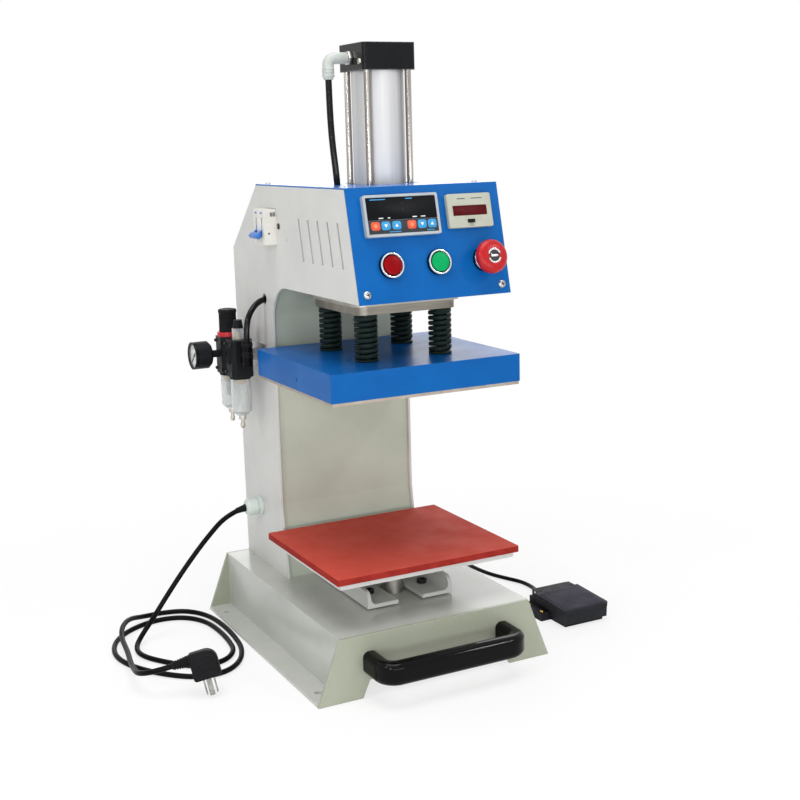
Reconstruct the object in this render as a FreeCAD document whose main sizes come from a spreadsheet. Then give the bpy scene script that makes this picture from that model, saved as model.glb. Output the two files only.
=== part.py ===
"""Pneumatic heat press: a C-frame bench press with a sprung, heated upper platen.

Millimetres, +Z up, the operator stands at -Y. The origin is the centre of the bench bolts, on the floor.
"""
import FreeCAD, Part
import Sketcher
import math
import os

Vector = FreeCAD.Vector
Rotation = FreeCAD.Rotation

SIZES = {
    # Base: a hat section of folded sheet, closed by two trapezoid end plates
    "base_top_width": 265.0,
    "base_foot_width": 326.0,
    "base_depth": 390.0,
    "base_height": 80.0,
    "base_sheet": 4.0,
    "leg_gap_foot_width": 208.0,
    "leg_gap_top_width": 188.0,
    "leg_gap_height": 22.0,
    "bench_spacing_x": 296.0,
    "bench_hole_end_margin": 35.0,
    "bench_hole_diameter": 9.0,
    "rear_lead_x": 62.0,
    "rear_lead_height": 44.0,
    "rear_lead_hole_diameter": 8.0,
    # Carrying handle on the front end plate
    "handle_span": 186.0,
    "handle_height": 44.5,
    "handle_reach": 46.0,
    "handle_section_width": 20.0,
    "handle_section_height": 29.0,
    "handle_section_round": 8.0,
    "handle_bend_radius": 17.0,
    # Socket screws of the handle and the rails
    "socket_screw_diameter": 8.0,
    "socket_head_diameter": 13.0,
    "socket_head_height": 5.0,
    "socket_key_diameter": 6.0,
    "socket_key_depth": 3.5,
    "handle_screw_length": 16.0,
    # Column and head: two C-shaped side plates
    "column_width": 200.0,
    "side_sheet": 3.0,
    "column_back_margin": 5.0,
    "column_front_y": 55.0,
    "foot_front_y": 40.0,
    "foot_flare_height": 100.0,
    "throat_radius": 48.0,
    "head_bottom_height": 478.0,
    "head_height": 130.0,
    "head_front_bottom_reach": 212.0,
    "head_front_top_reach": 181.0,
    "head_back_top_y": 94.0,
    "head_back_low_height": 520.0,
    "cover_sheet": 2.0,
    "throat_inset": 4.0,
    "throat_sheet": 3.0,
    "throat_front_gap": 9.0,
    "vent_count": 5,
    "vent_pitch": 28.5,
    "vent_width": 4.6,
    "vent_first_y": 42.0,
    "vent_top_drop": 40.0,
    "vent_length": 52.0,
    "cover_screw_diameter": 5.0,
    "cover_screw_head_diameter": 10.0,
    "cover_screw_head_height": 3.0,
    "cover_screw_length": 4.0,
    "cover_screw_margin": 11.0,
    # Front panel and what it carries, measured across from its middle and down from its top edge
    "controller_width": 96.0,
    "controller_height": 48.0,
    "controller_bezel": 7.0,
    "controller_across": -34.5,
    "controller_down": 34.5,
    "controller_rear_depth": 60.0,
    "controller_flange": 2.5,
    "controller_face_recess": 1.0,
    "controller_rim": 3.0,
    "device_corner_round": 2.5,
    "counter_width": 59.0,
    "counter_height": 40.0,
    "counter_bezel": 6.0,
    "counter_across": 55.5,
    "counter_down": 33.5,
    "counter_rear_depth": 46.0,
    "counter_window_width": 46.0,
    "counter_window_height": 12.0,
    "counter_window_recess": 1.0,
    "reset_key_width": 9.0,
    "reset_key_height": 3.6,
    "reset_key_depth": 3.0,
    "reset_key_proud": 1.2,
    "reset_key_drop": 12.5,
    "reset_key_travel": 1.0,
    "button_row_down": 91.3,
    "red_button_across": -54.7,
    "green_button_across": 7.4,
    "stop_button_across": 69.0,
    "button_hole_diameter": 22.4,
    "button_collar_diameter": 30.0,
    "button_collar_height": 6.0,
    "button_collar_chamfer": 2.0,
    "button_barrel_length": 38.0,
    "button_barrel_clearance": 0.2,
    "button_bore_diameter": 19.6,
    "button_bore_depth": 11.0,
    "button_cap_clearance": 0.3,
    "button_cap_height": 12.0,
    "button_cap_proud": 1.5,
    "button_cap_chamfer": 1.2,
    "stop_head_diameter": 40.0,
    "stop_head_height": 13.0,
    "stop_head_chamfer": 4.0,
    "stop_head_lift": 7.0,
    "stop_stem_below": 5.0,
    "stop_pivot_diameter": 8.0,
    "stop_pivot_height": 6.0,
    "turning_clearance": 0.3,
    # Circuit breaker in the left side of the head
    "breaker_width": 36.0,
    "breaker_nose_height": 45.0,
    "breaker_nose_reach": 17.0,
    "breaker_body_height": 80.0,
    "breaker_body_depth": 50.0,
    "breaker_y": 45.5,
    "breaker_drop": 53.0,
    "breaker_window_clearance": 0.5,
    "breaker_slot_height": 24.0,
    "breaker_slot_depth": 13.0,
    "breaker_slot_margin": 3.0,
    "toggle_hub_diameter": 10.0,
    "toggle_hub_inset": 7.0,
    "toggle_arm_length": 17.0,
    "toggle_arm_thickness": 5.0,
    "toggle_bar_diameter": 7.0,
    "toggle_side_clearance": 0.4,
    # Air cylinder on the ram's axis
    "ram_y": -72.0,
    "cylinder_cap_width": 70.0,
    "cylinder_cap_round": 5.0,
    "top_cap_height": 32.0,
    "bottom_cap_height": 30.0,
    "cylinder_rise": 166.0,
    "tube_diameter": 64.0,
    "tube_bore": 58.0,
    "tie_rod_diameter": 8.0,
    "tie_rod_offset": 27.5,
    "tie_rod_clearance": 0.2,
    "tie_head_diameter": 12.0,
    "tie_head_height": 6.0,
    "tie_head_well": 7.0,
    "cap_opening_clearance": 2.0,
    "piston_length": 15.0,
    "piston_clearance": 0.3,
    "piston_end_clearance": 0.5,
    "rod_diameter": 20.0,
    "rod_clearance": 0.5,
    # White push-in elbow on the top cap, and its hose
    "elbow_below_cap_top": 17.0,
    "elbow_reach": 30.0,
    "elbow_neck_diameter": 12.0,
    "elbow_nut_diameter": 17.0,
    "elbow_nut_length": 9.0,
    "elbow_barrel_diameter": 15.0,
    "elbow_barrel_above": 8.0,
    "elbow_barrel_below": 25.0,
    "hose_diameter": 8.0,
    "hose_hole_diameter": 14.0,
    "valve_width": 26.0,
    "valve_depth": 46.0,
    "valve_height": 74.0,
    "valve_coil_depth": 30.0,
    "valve_coil_height": 34.0,
    # Press head: fixed plate, moving plate, guide bolts, springs and heated platen
    "mount_plate_width": 146.0,
    "mount_plate_depth": 142.0,
    "mount_plate_thickness": 16.0,
    "moving_gap": 0.5,
    "pressure_plate_width": 138.0,
    "pressure_plate_depth": 134.0,
    "pressure_plate_thickness": 10.0,
    "press_plate_round": 14.0,
    "spring_spacing_x": 102.0,
    "spring_spacing_y": 104.0,
    "spring_diameter": 29.0,
    "spring_wire": 5.0,
    "spring_turns": 8,
    "spring_length": 57.5,
    "spring_end_clearance": 0.3,
    "guide_bolt_diameter": 10.0,
    "guide_head_diameter": 16.0,
    "guide_head_height": 6.0,
    "guide_hole_clearance": 0.5,
    "platen_width": 256.0,
    "platen_depth": 232.0,
    "platen_cover_height": 34.0,
    "platen_sheet": 1.5,
    "platen_corner_round": 2.0,
    "heating_plate_thickness": 16.0,
    "heating_plate_show": 4.0,
    # Lower table: rubber pad on a steel plate, its post, and two rails
    "pad_width": 254.0,
    "pad_depth": 224.0,
    "pad_thickness": 8.0,
    "pad_corner_round": 3.0,
    "table_plate_thickness": 7.0,
    "table_plate_inset": 5.0,
    "table_height": 150.0,
    "post_diameter": 30.0,
    "post_flange_diameter": 90.0,
    "post_flange_thickness": 8.0,
    "rail_outer_width": 121.0,
    "rail_flange": 43.0,
    "rail_thickness": 5.0,
    "rail_height": 22.0,
    "rail_length": 165.0,
    "rail_front_y": -125.0,
    "rail_nose_round": 12.0,
    "rail_bend_round": 7.0,
    "rail_shim": 2.0,
    "rail_shim_width": 12.0,
    "rail_bolt_inset": 21.0,
    "rail_bolt_front_y": -83.0,
    "rail_bolt_pitch": 81.0,
    # Air service unit on the left of the column: filter regulator, lubricator and gauge
    "air_unit_standoff": 33.0,
    "regulator_y": 137.0,
    "lubricator_pitch": 39.0,
    "air_body_width": 30.0,
    "air_body_bottom_height": 355.0,
    "air_body_height": 50.0,
    "air_body_round": 6.0,
    "air_bridge_height": 20.0,
    "air_bridge_depth": 18.0,
    "air_bracket_sheet": 3.0,
    "air_bracket_height": 34.0,
    "air_bracket_margin": 18.0,
    "air_arm_height": 16.0,
    "ring_diameter": 30.0,
    "ring_height": 6.0,
    "knob_diameter": 25.0,
    "knob_height": 31.0,
    "knob_taper": 1.5,
    "knob_rim_chamfer": 2.0,
    "knob_boss_diameter": 12.0,
    "knob_boss_height": 8.0,
    "bowl_diameter": 27.0,
    "bowl_length": 50.0,
    "bowl_wall": 2.0,
    "bowl_chamfer": 6.0,
    "lubricator_bowl_extra": 3.0,
    "drain_diameter": 10.0,
    "drain_length": 18.0,
    "drain_tip_diameter": 5.0,
    "dome_diameter": 17.0,
    "dome_wall": 2.0,
    "dome_height": 15.0,
    "oil_cap_diameter": 14.0,
    "oil_cap_height": 11.0,
    "oil_post_diameter": 5.0,
    "gauge_diameter": 37.0,
    "gauge_length": 25.0,
    "gauge_neck_diameter": 10.0,
    "gauge_neck_length": 13.0,
    "gauge_rise": 2.0,
    "gauge_rim": 2.0,
    "gauge_recess": 4.0,
    "gauge_back_chamfer": 4.0,
    "needle_length": 13.0,
    "needle_tail": 5.0,
    "needle_width": 1.4,
    "needle_thickness": 0.8,
    "needle_hub_diameter": 4.0,
    "needle_pivot_diameter": 1.6,
    "needle_gap": 0.3,
    "air_elbow_diameter": 14.0,
    "air_elbow_reach": 23.0,
    "air_elbow_rise": 26.0,
    "hose_port_y": 81.0,
    "hose_port_rise": 52.0,
    # Mains lead: gland, cord and plug
    "gland_y": 131.0,
    "gland_height": 162.0,
    "gland_flange_diameter": 26.0,
    "gland_flange_length": 6.0,
    "gland_body_diameter": 21.0,
    "gland_body_length": 8.0,
    "gland_nut_diameter": 24.0,
    "gland_nut_length": 10.0,
    "gland_mouth_diameter": 13.0,
    "gland_spigot_diameter": 15.0,
    "gland_spigot_length": 10.0,
    "mains_cord_diameter": 7.0,
    "plug_x": -264.0,
    "plug_y": -83.0,
    "plug_middle_height": 38.4,
    "plug_width": 34.0,
    "plug_depth": 35.0,
    "plug_height": 25.0,
    "plug_corner_round": 5.0,
    "plug_crown_round": 14.0,
    "plug_boot_length": 22.0,
    "plug_boot_diameter": 15.0,
    "plug_boot_tip_diameter": 10.0,
    "plug_boot_back": 9.0,
    "plug_cord_approach": 17.4,
    "pin_length": 19.0,
    "pin_width": 6.3,
    "pin_thickness": 1.6,
    "pin_spacing": 13.0,
    "earth_pin_extra": 1.5,
    # Foot switch beside the base
    "pedal_x": 265.0,
    "pedal_front_y": -131.0,
    "pedal_width": 62.0,
    "pedal_length": 89.0,
    "pedal_back_height": 19.0,
    "pedal_corner_round": 4.0,
    "pedal_housing_width": 16.0,
    "pedal_housing_length": 54.0,
    "pedal_housing_height": 10.0,
    "treadle_lip": 1.5,
    "skirt_overhang": 3.5,
    "skirt_front_reach": 6.0,
    "skirt_thickness": 2.5,
    "skirt_drop": 15.0,
    "skirt_rear_drop": 8.0,
    "treadle_thickness": 6.0,
    "treadle_back_gap": 14.0,
    "treadle_gap": 5.0,
    "pedal_pin_diameter": 4.0,
    "pedal_pin_clearance": 0.3,
    "pedal_ear_thickness": 6.0,
    "pedal_ear_gap": 0.4,
    "pedal_boss_diameter": 14.0,
    "pedal_boss_length": 10.0,
    "pedal_boss_height": 9.0,
    "pedal_cord_diameter": 6.0,
    "coil_x": 128.0,
    "coil_y": 262.0,
    "coil_mean_radius": 33.0,
    "coil_step": 6.8,
    "coil_turns": 3,
    # One overrun serves all cuts
    "overrun": 1.0,
}

# The toggle rests in its lower position and the needle on its zero stop
TOGGLE_REST_ANGLE = -40.0
NEEDLE_REST_ANGLE = -135.0
# The treadle slopes down to its front, as the tray under it does
TREADLE_TILT_ANGLE = 2.5
# The plug stands on its pins, leans back and to the right, and is turned away from the press
PLUG_TURN = Rotation(Vector(0, 0, 1), -20)
PLUG_TURN = PLUG_TURN.multiply(Rotation(Vector(1, 0, 0), -14))
PLUG_TURN = PLUG_TURN.multiply(Rotation(Vector(0, 1, 0), -13))
PLUG_TURN = PLUG_TURN.multiply(Rotation(Vector(1, 0, 0), 90))
KEY_SIDES = 6


class Size:
    """A length that carries its number together with the sheet expression it comes from."""

    def __init__(self, value, text):
        self.value = value
        self.text = text

    def __add__(self, other):
        other = as_size(other)
        return Size(self.value + other.value, f"({self.text} + {other.text})")

    def __sub__(self, other):
        other = as_size(other)
        return Size(self.value - other.value, f"({self.text} - {other.text})")

    def __mul__(self, other):
        other = as_size(other)
        return Size(self.value * other.value, f"({self.text} * {other.text})")

    def __truediv__(self, other):
        other = as_size(other)
        return Size(self.value / other.value, f"({self.text} / {other.text})")

    def __radd__(self, other):
        return as_size(other) + self

    def __rsub__(self, other):
        return as_size(other) - self

    def __rmul__(self, other):
        return as_size(other) * self

    def __neg__(self):
        return Size(-self.value, f"(-{self.text})")


def as_size(item):
    return item if isinstance(item, Size) else Size(float(item), str(item))


def root(item):
    return Size(math.sqrt(item.value), f"sqrt({item.text})")


class Sheet:
    """The spreadsheet of driving sizes, read by name."""

    def __init__(self, document, table):
        sheet = document.addObject("Spreadsheet::Sheet", "sizes")
        for row, (name, number) in enumerate(table.items(), start=1):
            sheet.set(f"A{row}", name)
            sheet.set(f"B{row}", str(number))
            sheet.setAlias(f"B{row}", name)
            setattr(self, name, Size(float(number), f"sizes.{name}"))


doc = FreeCAD.newDocument("heat_press")
mm = Sheet(doc, SIZES)
doc.recompute()

nodes = []

FACING = {
    "Z": Rotation(),
    "-Z": Rotation(Vector(1, 0, 0), 180),
    "X": Rotation(Vector(0, 1, 0), 90),
    "-X": Rotation(Vector(0, 1, 0), -90),
    "Y": Rotation(Vector(1, 0, 0), -90),
    "-Y": Rotation(Vector(1, 0, 0), 90),
}


def node(name, piece):
    piece.Label = name
    nodes.append(piece)
    return piece


def place(piece, at, turn=None):
    at = [as_size(item) for item in at]
    start = Vector(*[item.value for item in at])
    piece.Placement = FreeCAD.Placement(start, turn or Rotation())
    for letter, item in zip("xyz", at):
        piece.setExpression(f"Placement.Base.{letter}", item.text)
    return piece


def block(name, spans, at, turn=None):
    """A box from its lower corner."""
    piece = doc.addObject("Part::Box", name)
    for side, span in zip(("Length", "Width", "Height"), spans):
        piece.setExpression(side, as_size(span).text)
    return place(piece, at, turn)


def rod(name, diameter, length, at, turn=None):
    piece = doc.addObject("Part::Cylinder", name)
    piece.setExpression("Radius", (diameter / 2).text)
    piece.setExpression("Height", as_size(length).text)
    return place(piece, at, turn)


def tapered_rod(name, start_diameter, end_diameter, length, at, turn=None):
    piece = doc.addObject("Part::Cone", name)
    piece.setExpression("Radius1", (start_diameter / 2).text)
    piece.setExpression("Radius2", (end_diameter / 2).text)
    piece.setExpression("Height", length.text)
    return place(piece, at, turn)


def fuse(name, *pieces):
    piece = doc.addObject("Part::MultiFuse", name)
    piece.Shapes = list(pieces)
    return piece


def group(name, pieces):
    piece = doc.addObject("Part::Compound", name)
    piece.Links = list(pieces)
    return piece


def cut(name, base, *tools):
    piece = doc.addObject("Part::Cut", name)
    piece.Base = base
    piece.Tool = tools[0] if len(tools) == 1 else group(name + "_tools", tools)
    return piece


def pin_point(sketch, geometry, end, point):
    """Ties one sketch point to the two axes, each by its own expression."""
    for kind, axis, item in zip(("DistanceX", "DistanceY"), (-2, -1), point):
        item = as_size(item)
        if item.value == 0:
            sketch.addConstraint(Sketcher.Constraint("PointOnObject", geometry, end, axis))
        else:
            index = sketch.addConstraint(Sketcher.Constraint(kind, -1, 1, geometry, end, item.value))
            sketch.setExpression(f"Constraints[{index}]", item.text)


def add_loop(sketch, points):
    places = [Vector(as_size(across).value, as_size(along).value, 0) for across, along in points]
    first = sketch.GeometryCount
    count = len(points)
    for index in range(count):
        sketch.addGeometry(Part.LineSegment(places[index], places[(index + 1) % count]))
    for index in range(count):
        following = first + (index + 1) % count
        sketch.addConstraint(Sketcher.Constraint("Coincident", first + index, 2, following, 1))
    for index, point in enumerate(points):
        pin_point(sketch, first + index, 1, point)


def add_circle(sketch, centre, diameter):
    middle = Vector(as_size(centre[0]).value, as_size(centre[1]).value, 0)
    circle = sketch.addGeometry(Part.Circle(middle, Vector(0, 0, 1), diameter.value / 2))
    pin_point(sketch, circle, 3, centre)
    index = sketch.addConstraint(Sketcher.Constraint("Radius", circle, diameter.value / 2))
    sketch.setExpression(f"Constraints[{index}]", (diameter / 2).text)


def sketch_on(body, plane, loops, circles=()):
    sketch = body.newObject("Sketcher::SketchObject", body.Name + "_outline")
    support = [feature for feature in body.Origin.OriginFeatures if feature.Role == plane][0]
    sketch.AttachmentSupport = [(support, "")]
    sketch.MapMode = "FlatFace"
    for points in loops:
        add_loop(sketch, points)
    for centre, diameter in circles:
        add_circle(sketch, centre, diameter)
    return sketch


PLANE_AXES = {"XY_Plane": "xy", "XZ_Plane": "xz", "YZ_Plane": "yz"}


def plate(name, plane, loops, thickness, at=(0, 0, 0), turn=None, circles=(), rounds=()):
    """A padded outline, with its corners rounded: rounds pairs a radius with a list of corners."""
    body = doc.addObject("PartDesign::Body", name)
    sketch = sketch_on(body, plane, loops, circles)
    pad = body.newObject("PartDesign::Pad", name + "_pad")
    pad.Profile = sketch
    pad.setExpression("Length", thickness.text)
    last = pad
    for count, (radius, corners) in enumerate(rounds):
        doc.recompute()
        fillet = body.newObject("PartDesign::Fillet", f"{name}_round{count}")
        fillet.Base = (last, corner_edges(last.Shape, plane, corners))
        fillet.setExpression("Radius", radius.text)
        last = fillet
    return place(body, at, turn)


def corner_edges(shape, plane, corners):
    """Names of the edges that stand square to the outline at the given corners."""
    first, second = PLANE_AXES[plane]
    wanted = [(as_size(across).value, as_size(along).value) for across, along in corners]
    found = []
    for index, edge in enumerate(shape.Edges, start=1):
        ends = [vertex.Point for vertex in edge.Vertexes]
        for across, along in wanted:
            if all(math.hypot(getattr(end, first) - across, getattr(end, second) - along) < 1e-4
                   for end in ends):
                found.append(f"Edge{index}")
    return found


def turned(name, profile, at=(0, 0, 0), turn=None):
    """A solid of revolution from (radius, height) corners."""
    body = doc.addObject("PartDesign::Body", name)
    sketch = sketch_on(body, "XZ_Plane", [profile])
    spin = body.newObject("PartDesign::Revolution", name + "_spin")
    spin.Profile = sketch
    spin.ReferenceAxis = (sketch, ["V_Axis"])
    spin.Angle = 360
    return place(body, at, turn)


def rectangle(width, height, across=0, along=0):
    return [(across - width / 2, along - height / 2), (across + width / 2, along - height / 2),
            (across + width / 2, along + height / 2), (across - width / 2, along + height / 2)]


def four_corners(spacing_x, spacing_y, middle_y=0):
    return [(side * spacing_x / 2, middle_y + end * spacing_y / 2) for side in (-1, 1) for end in (-1, 1)]


def formed(name, shape):
    piece = doc.addObject("Part::Feature", name)
    piece.Shape = shape
    return piece


# Wound and bent tubes

def biarc(start, start_way, end, end_way):
    """Two tangent arcs between two points with given directions."""
    span = end - start
    both = start_way + end_way
    square = 2 * (1 - start_way.dot(end_way))
    middle = span.dot(both)
    reach = (-middle + math.sqrt(middle * middle + square * span.dot(span))) / square
    joint = (start + start_way * reach + end - end_way * reach) * 0.5
    return [tangent_arc(start, start_way, joint), tangent_arc(end, end_way * -1, joint)]


def tangent_arc(start, way, end):
    chord = end - start
    along = chord * (1 / chord.Length)
    side = way - along * way.dot(along)
    side.normalize()
    half_turn = math.acos(max(-1.0, min(1.0, way.dot(along))))
    crown = start + chord * 0.5 + side * (chord.Length / 2 * math.tan(half_turn / 2))
    return Part.Arc(start, crown, end).toShape()


def pipe_along(edges, diameter, start, way):
    """One round tube along joined edges."""
    path = Part.Wire(Part.__sortEdges__(edges))
    section = Part.Wire([Part.makeCircle(diameter / 2, start, way)])
    return path.makePipeShell([section], True, False)


def least_gap(points, diameter):
    """The smallest clear space between stretches of a winding that lie over half a turn apart."""
    apart = len(points) // 60 + 10
    nearest = min(
        first.distanceToPoint(second)
        for index, first in enumerate(points)
        for second in points[index + apart:]
    )
    return nearest - diameter


def wound(stations, diameter, lead):
    """A tube through (point, direction) stations on biarcs, with a straight lead at each end."""
    edges = []
    first, first_way = stations[0]
    last, last_way = stations[-1]
    edges.append(Part.LineSegment(first - first_way * lead, first).toShape())
    for (start, start_way), (end, end_way) in zip(stations, stations[1:]):
        edges.extend(biarc(start, start_way, end, end_way))
    edges.append(Part.LineSegment(last, last + last_way * lead).toShape())
    return pipe_along(edges, diameter, first - first_way * lead, first_way), edges


def route_tube(name, points, diameter):
    """A cord along straight runs joined by the largest tangent arcs that the runs allow."""
    points = [Vector(*point) for point in points]
    edges = []
    radii = []
    here = points[0]
    for before, corner, after in zip(points, points[1:], points[2:]):
        way_in = corner - before
        way_out = after - corner
        turn = way_in.getAngle(way_out)
        trim = CORNER_TRIM_SHARE * min(way_in.Length, way_out.Length)
        radii.append(trim / math.tan(turn / 2))
        way_in.normalize()
        way_out.normalize()
        arc_start = corner - way_in * trim
        edges.append(Part.LineSegment(here, arc_start).toShape())
        here = corner + way_out * trim
        edges.append(tangent_arc(arc_start, way_in, here))
    edges.append(Part.LineSegment(here, points[-1]).toShape())
    first_way = points[1] - points[0]
    tube = pipe_along(edges, diameter, points[0], first_way)
    length = sum(edge.Length for edge in edges)
    ideal = math.pi * diameter * diameter / 4 * length
    share = tube.Volume / ideal
    print(f"{name}: length {length:.1f} mm, smallest radius {min(radii):.1f} mm, volume share {share:.4f}")
    return tube


CORNER_TRIM_SHARE = 0.45


# Shared places worked out from the sizes

base_inner_depth = mm.base_depth - mm.base_sheet * 2
bench_spacing_y = mm.base_depth - mm.bench_hole_end_margin * 2
column_back_y = mm.base_depth / 2 - mm.column_back_margin
head_top = mm.head_bottom_height + mm.head_height
column_half = mm.column_width / 2
column_inner_half = column_half - mm.side_sheet
column_inner_width = mm.column_width - mm.side_sheet * 2

panel_run = mm.head_front_bottom_reach - mm.head_front_top_reach
panel_length = root(panel_run * panel_run + mm.head_height * mm.head_height)
lean_sin = panel_run / panel_length
lean_cos = mm.head_height / panel_length
PANEL_TURN = Rotation(Vector(1, 0, 0), 90 - math.degrees(math.asin(lean_sin.value)))

throat_floor = mm.head_bottom_height + mm.throat_inset
throat_roof = throat_floor + mm.throat_sheet
mount_plate_bottom = throat_floor - mm.mount_plate_thickness
pressure_plate_top = mount_plate_bottom - mm.moving_gap
pressure_plate_bottom = pressure_plate_top - mm.pressure_plate_thickness
platen_top = pressure_plate_bottom - mm.spring_length
platen_bottom = platen_top - mm.platen_cover_height
tube_bottom = throat_roof + mm.bottom_cap_height
cylinder_top = head_top + mm.cylinder_rise
tube_top = cylinder_top - mm.top_cap_height
tube_length = tube_top - tube_bottom
elbow_height = cylinder_top - mm.elbow_below_cap_top
spring_places = four_corners(mm.spring_spacing_x, mm.spring_spacing_y, mm.ram_y)

air_x = -column_half - mm.air_unit_standoff
lubricator_y = mm.regulator_y - mm.lubricator_pitch
air_body_top = mm.air_body_bottom_height + mm.air_body_height
air_middle = mm.air_body_bottom_height + mm.air_body_height / 2
outlet_top = air_middle + mm.air_elbow_rise
hose_port_height = outlet_top + mm.hose_port_rise
hose_drop_x = -mm.cylinder_cap_width / 2 - mm.elbow_reach


def on_panel(across, down, out=0):
    """A place on the leaning front panel: across its width, down its slope, out from its face."""
    return (across, -mm.head_front_top_reach - down * lean_sin - out * lean_cos,
            head_top - down * lean_cos + out * lean_sin)


def panel_block(name, width, height, depth, across, down, out):
    return block(name, (width, height, depth), on_panel(across - width / 2, down + height / 2, out),
                 PANEL_TURN)


# Base

def base():
    outer = mm.base_top_width / 2
    inner = outer - mm.base_sheet
    foot = mm.base_foot_width / 2
    under = mm.base_height - mm.base_sheet
    hat = [(-foot, 0), (-inner, 0), (-inner, under), (inner, under), (inner, 0), (foot, 0),
           (foot, mm.base_sheet),
           (outer, mm.base_sheet), (outer, mm.base_height), (-outer, mm.base_height),
           (-outer, mm.base_sheet),
           (-foot, mm.base_sheet)]
    channel = plate("base_hat", "XZ_Plane", [hat], base_inner_depth, (0, base_inner_depth / 2, 0))
    drills = []
    for index, (x, y) in enumerate(four_corners(mm.bench_spacing_x, bench_spacing_y)):
        drills.append(rod(f"bench_drill{index}", mm.bench_hole_diameter, mm.base_sheet + mm.overrun * 2,
                          (x, y, -mm.overrun)))
    for index, (x, y) in enumerate(rail_bolt_places()):
        drills.append(rod(f"rail_tap{index}", mm.socket_screw_diameter, mm.base_sheet + mm.overrun * 2,
                          (x, y, under - mm.overrun)))
    node("base_channel", cut("base_drilled", channel, *drills))

    gap_foot = mm.leg_gap_foot_width / 2
    gap_top = mm.leg_gap_top_width / 2
    trapezoid = [(-foot, 0), (-gap_foot, 0), (-gap_top, mm.leg_gap_height), (gap_top, mm.leg_gap_height),
                 (gap_foot, 0), (foot, 0), (outer, mm.base_height), (-outer, mm.base_height)]
    handle_holes = [((side * mm.handle_span / 2, mm.handle_height), mm.socket_screw_diameter)
                    for side in (-1, 1)]
    front = plate("front_end", "XZ_Plane", [trapezoid], mm.base_sheet, (0, -base_inner_depth / 2, 0), None,
                  handle_holes)
    lead_hole = [((mm.rear_lead_x, mm.rear_lead_height), mm.rear_lead_hole_diameter)]
    rear = plate("rear_end", "XZ_Plane", [trapezoid], mm.base_sheet, (0, mm.base_depth / 2, 0), None,
                 lead_hole)
    node("base_end_plates", group("end_plate_pair", [front, rear]))


def carrying_handle():
    """A bow of rounded section, screwed on from inside the front plate."""
    half_span = mm.handle_span.value / 2
    face = -mm.base_depth.value / 2
    height = mm.handle_height.value
    bend = mm.handle_bend_radius.value
    grip = face - mm.handle_reach.value
    lean = bend * (1 - math.sqrt(0.5))
    left_bend = Part.Arc(Vector(-half_span, grip + bend, height),
                         Vector(-half_span + lean, grip + lean, height),
                         Vector(-half_span + bend, grip, height))
    right_bend = Part.Arc(Vector(half_span - bend, grip, height),
                          Vector(half_span - lean, grip + lean, height),
                          Vector(half_span, grip + bend, height))
    path = Part.Wire([
        Part.LineSegment(Vector(-half_span, face, height), Vector(-half_span, grip + bend,
                                                                  height)).toShape(),
        left_bend.toShape(),
        Part.LineSegment(Vector(-half_span + bend, grip, height),
                         Vector(half_span - bend, grip, height)).toShape(),
        right_bend.toShape(),
        Part.LineSegment(Vector(half_span, grip + bend, height), Vector(half_span, face, height)).toShape(),
    ])
    wide = mm.handle_section_width.value / 2
    tall = mm.handle_section_height.value / 2
    section = rounded_section(-half_span, face, height, wide, tall, mm.handle_section_round.value)
    bow = formed("handle_bow", path.makePipeShell([section], True, False))
    bores = [rod(f"handle_bore{side}", mm.socket_screw_diameter, mm.handle_screw_length + mm.overrun,
                 (side * mm.handle_span / 2, mm.overrun - mm.base_depth / 2, mm.handle_height),
                 FACING["-Y"])
             for side in (-1, 1)]
    node("carry_handle", cut("handle_bored", bow, *bores))


def rounded_section(x, y, z, half_x, half_z, corner):
    """A rounded rectangle in the plane square to Y."""
    straight_x = half_x - corner
    straight_z = half_z - corner
    lean = corner * math.sqrt(0.5)
    edges = []
    for (side, end) in ((1, 1), (-1, 1), (-1, -1), (1, -1)):
        middle = Vector(x + side * straight_x, y, z + end * straight_z)
        to_side = middle + Vector(side * corner, 0, 0)
        to_end = middle + Vector(0, 0, end * corner)
        crown = middle + Vector(side * lean, 0, end * lean)
        edges.append(Part.Arc(to_side, crown, to_end).toShape())
    top = z + half_z
    low = z - half_z
    edges.append(line_xz(x + straight_x, top, x - straight_x, top, y))
    edges.append(line_xz(x + straight_x, low, x - straight_x, low, y))
    edges.append(line_xz(x + half_x, z + straight_z, x + half_x, z - straight_z, y))
    edges.append(line_xz(x - half_x, z + straight_z, x - half_x, z - straight_z, y))
    return Part.Wire(Part.__sortEdges__(edges))


def line_xz(start_x, start_z, end_x, end_z, y):
    return Part.LineSegment(Vector(start_x, y, start_z), Vector(end_x, y, end_z)).toShape()


def socket_screw(name, length, at, turn):
    """A cap screw from the underside of its head, with its key socket."""
    head = mm.socket_head_diameter / 2
    shank = mm.socket_screw_diameter / 2
    key = mm.socket_key_diameter / 2
    floor = mm.socket_head_height - mm.socket_key_depth
    profile = [(0, -length), (shank, -length), (shank, 0), (head, 0), (head, mm.socket_head_height),
               (key, mm.socket_head_height), (key, floor), (0, floor)]
    return turned(name, profile, at, turn)


# Column and head

def side_outline():
    base_top = mm.base_height
    flare_top = base_top + mm.foot_flare_height
    side_top = head_top - mm.cover_sheet
    sheet_back = mm.cover_sheet / lean_cos
    bottom_reach = -mm.head_front_bottom_reach + sheet_back
    top_reach = -mm.head_front_top_reach + sheet_back - mm.cover_sheet * lean_sin / lean_cos
    return [(mm.foot_front_y, base_top), (mm.column_front_y, flare_top),
            (mm.column_front_y, mm.head_bottom_height),
            (bottom_reach, mm.head_bottom_height), (top_reach, side_top), (mm.head_back_top_y, side_top),
            (column_back_y, mm.head_back_low_height), (column_back_y, base_top)]


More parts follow.
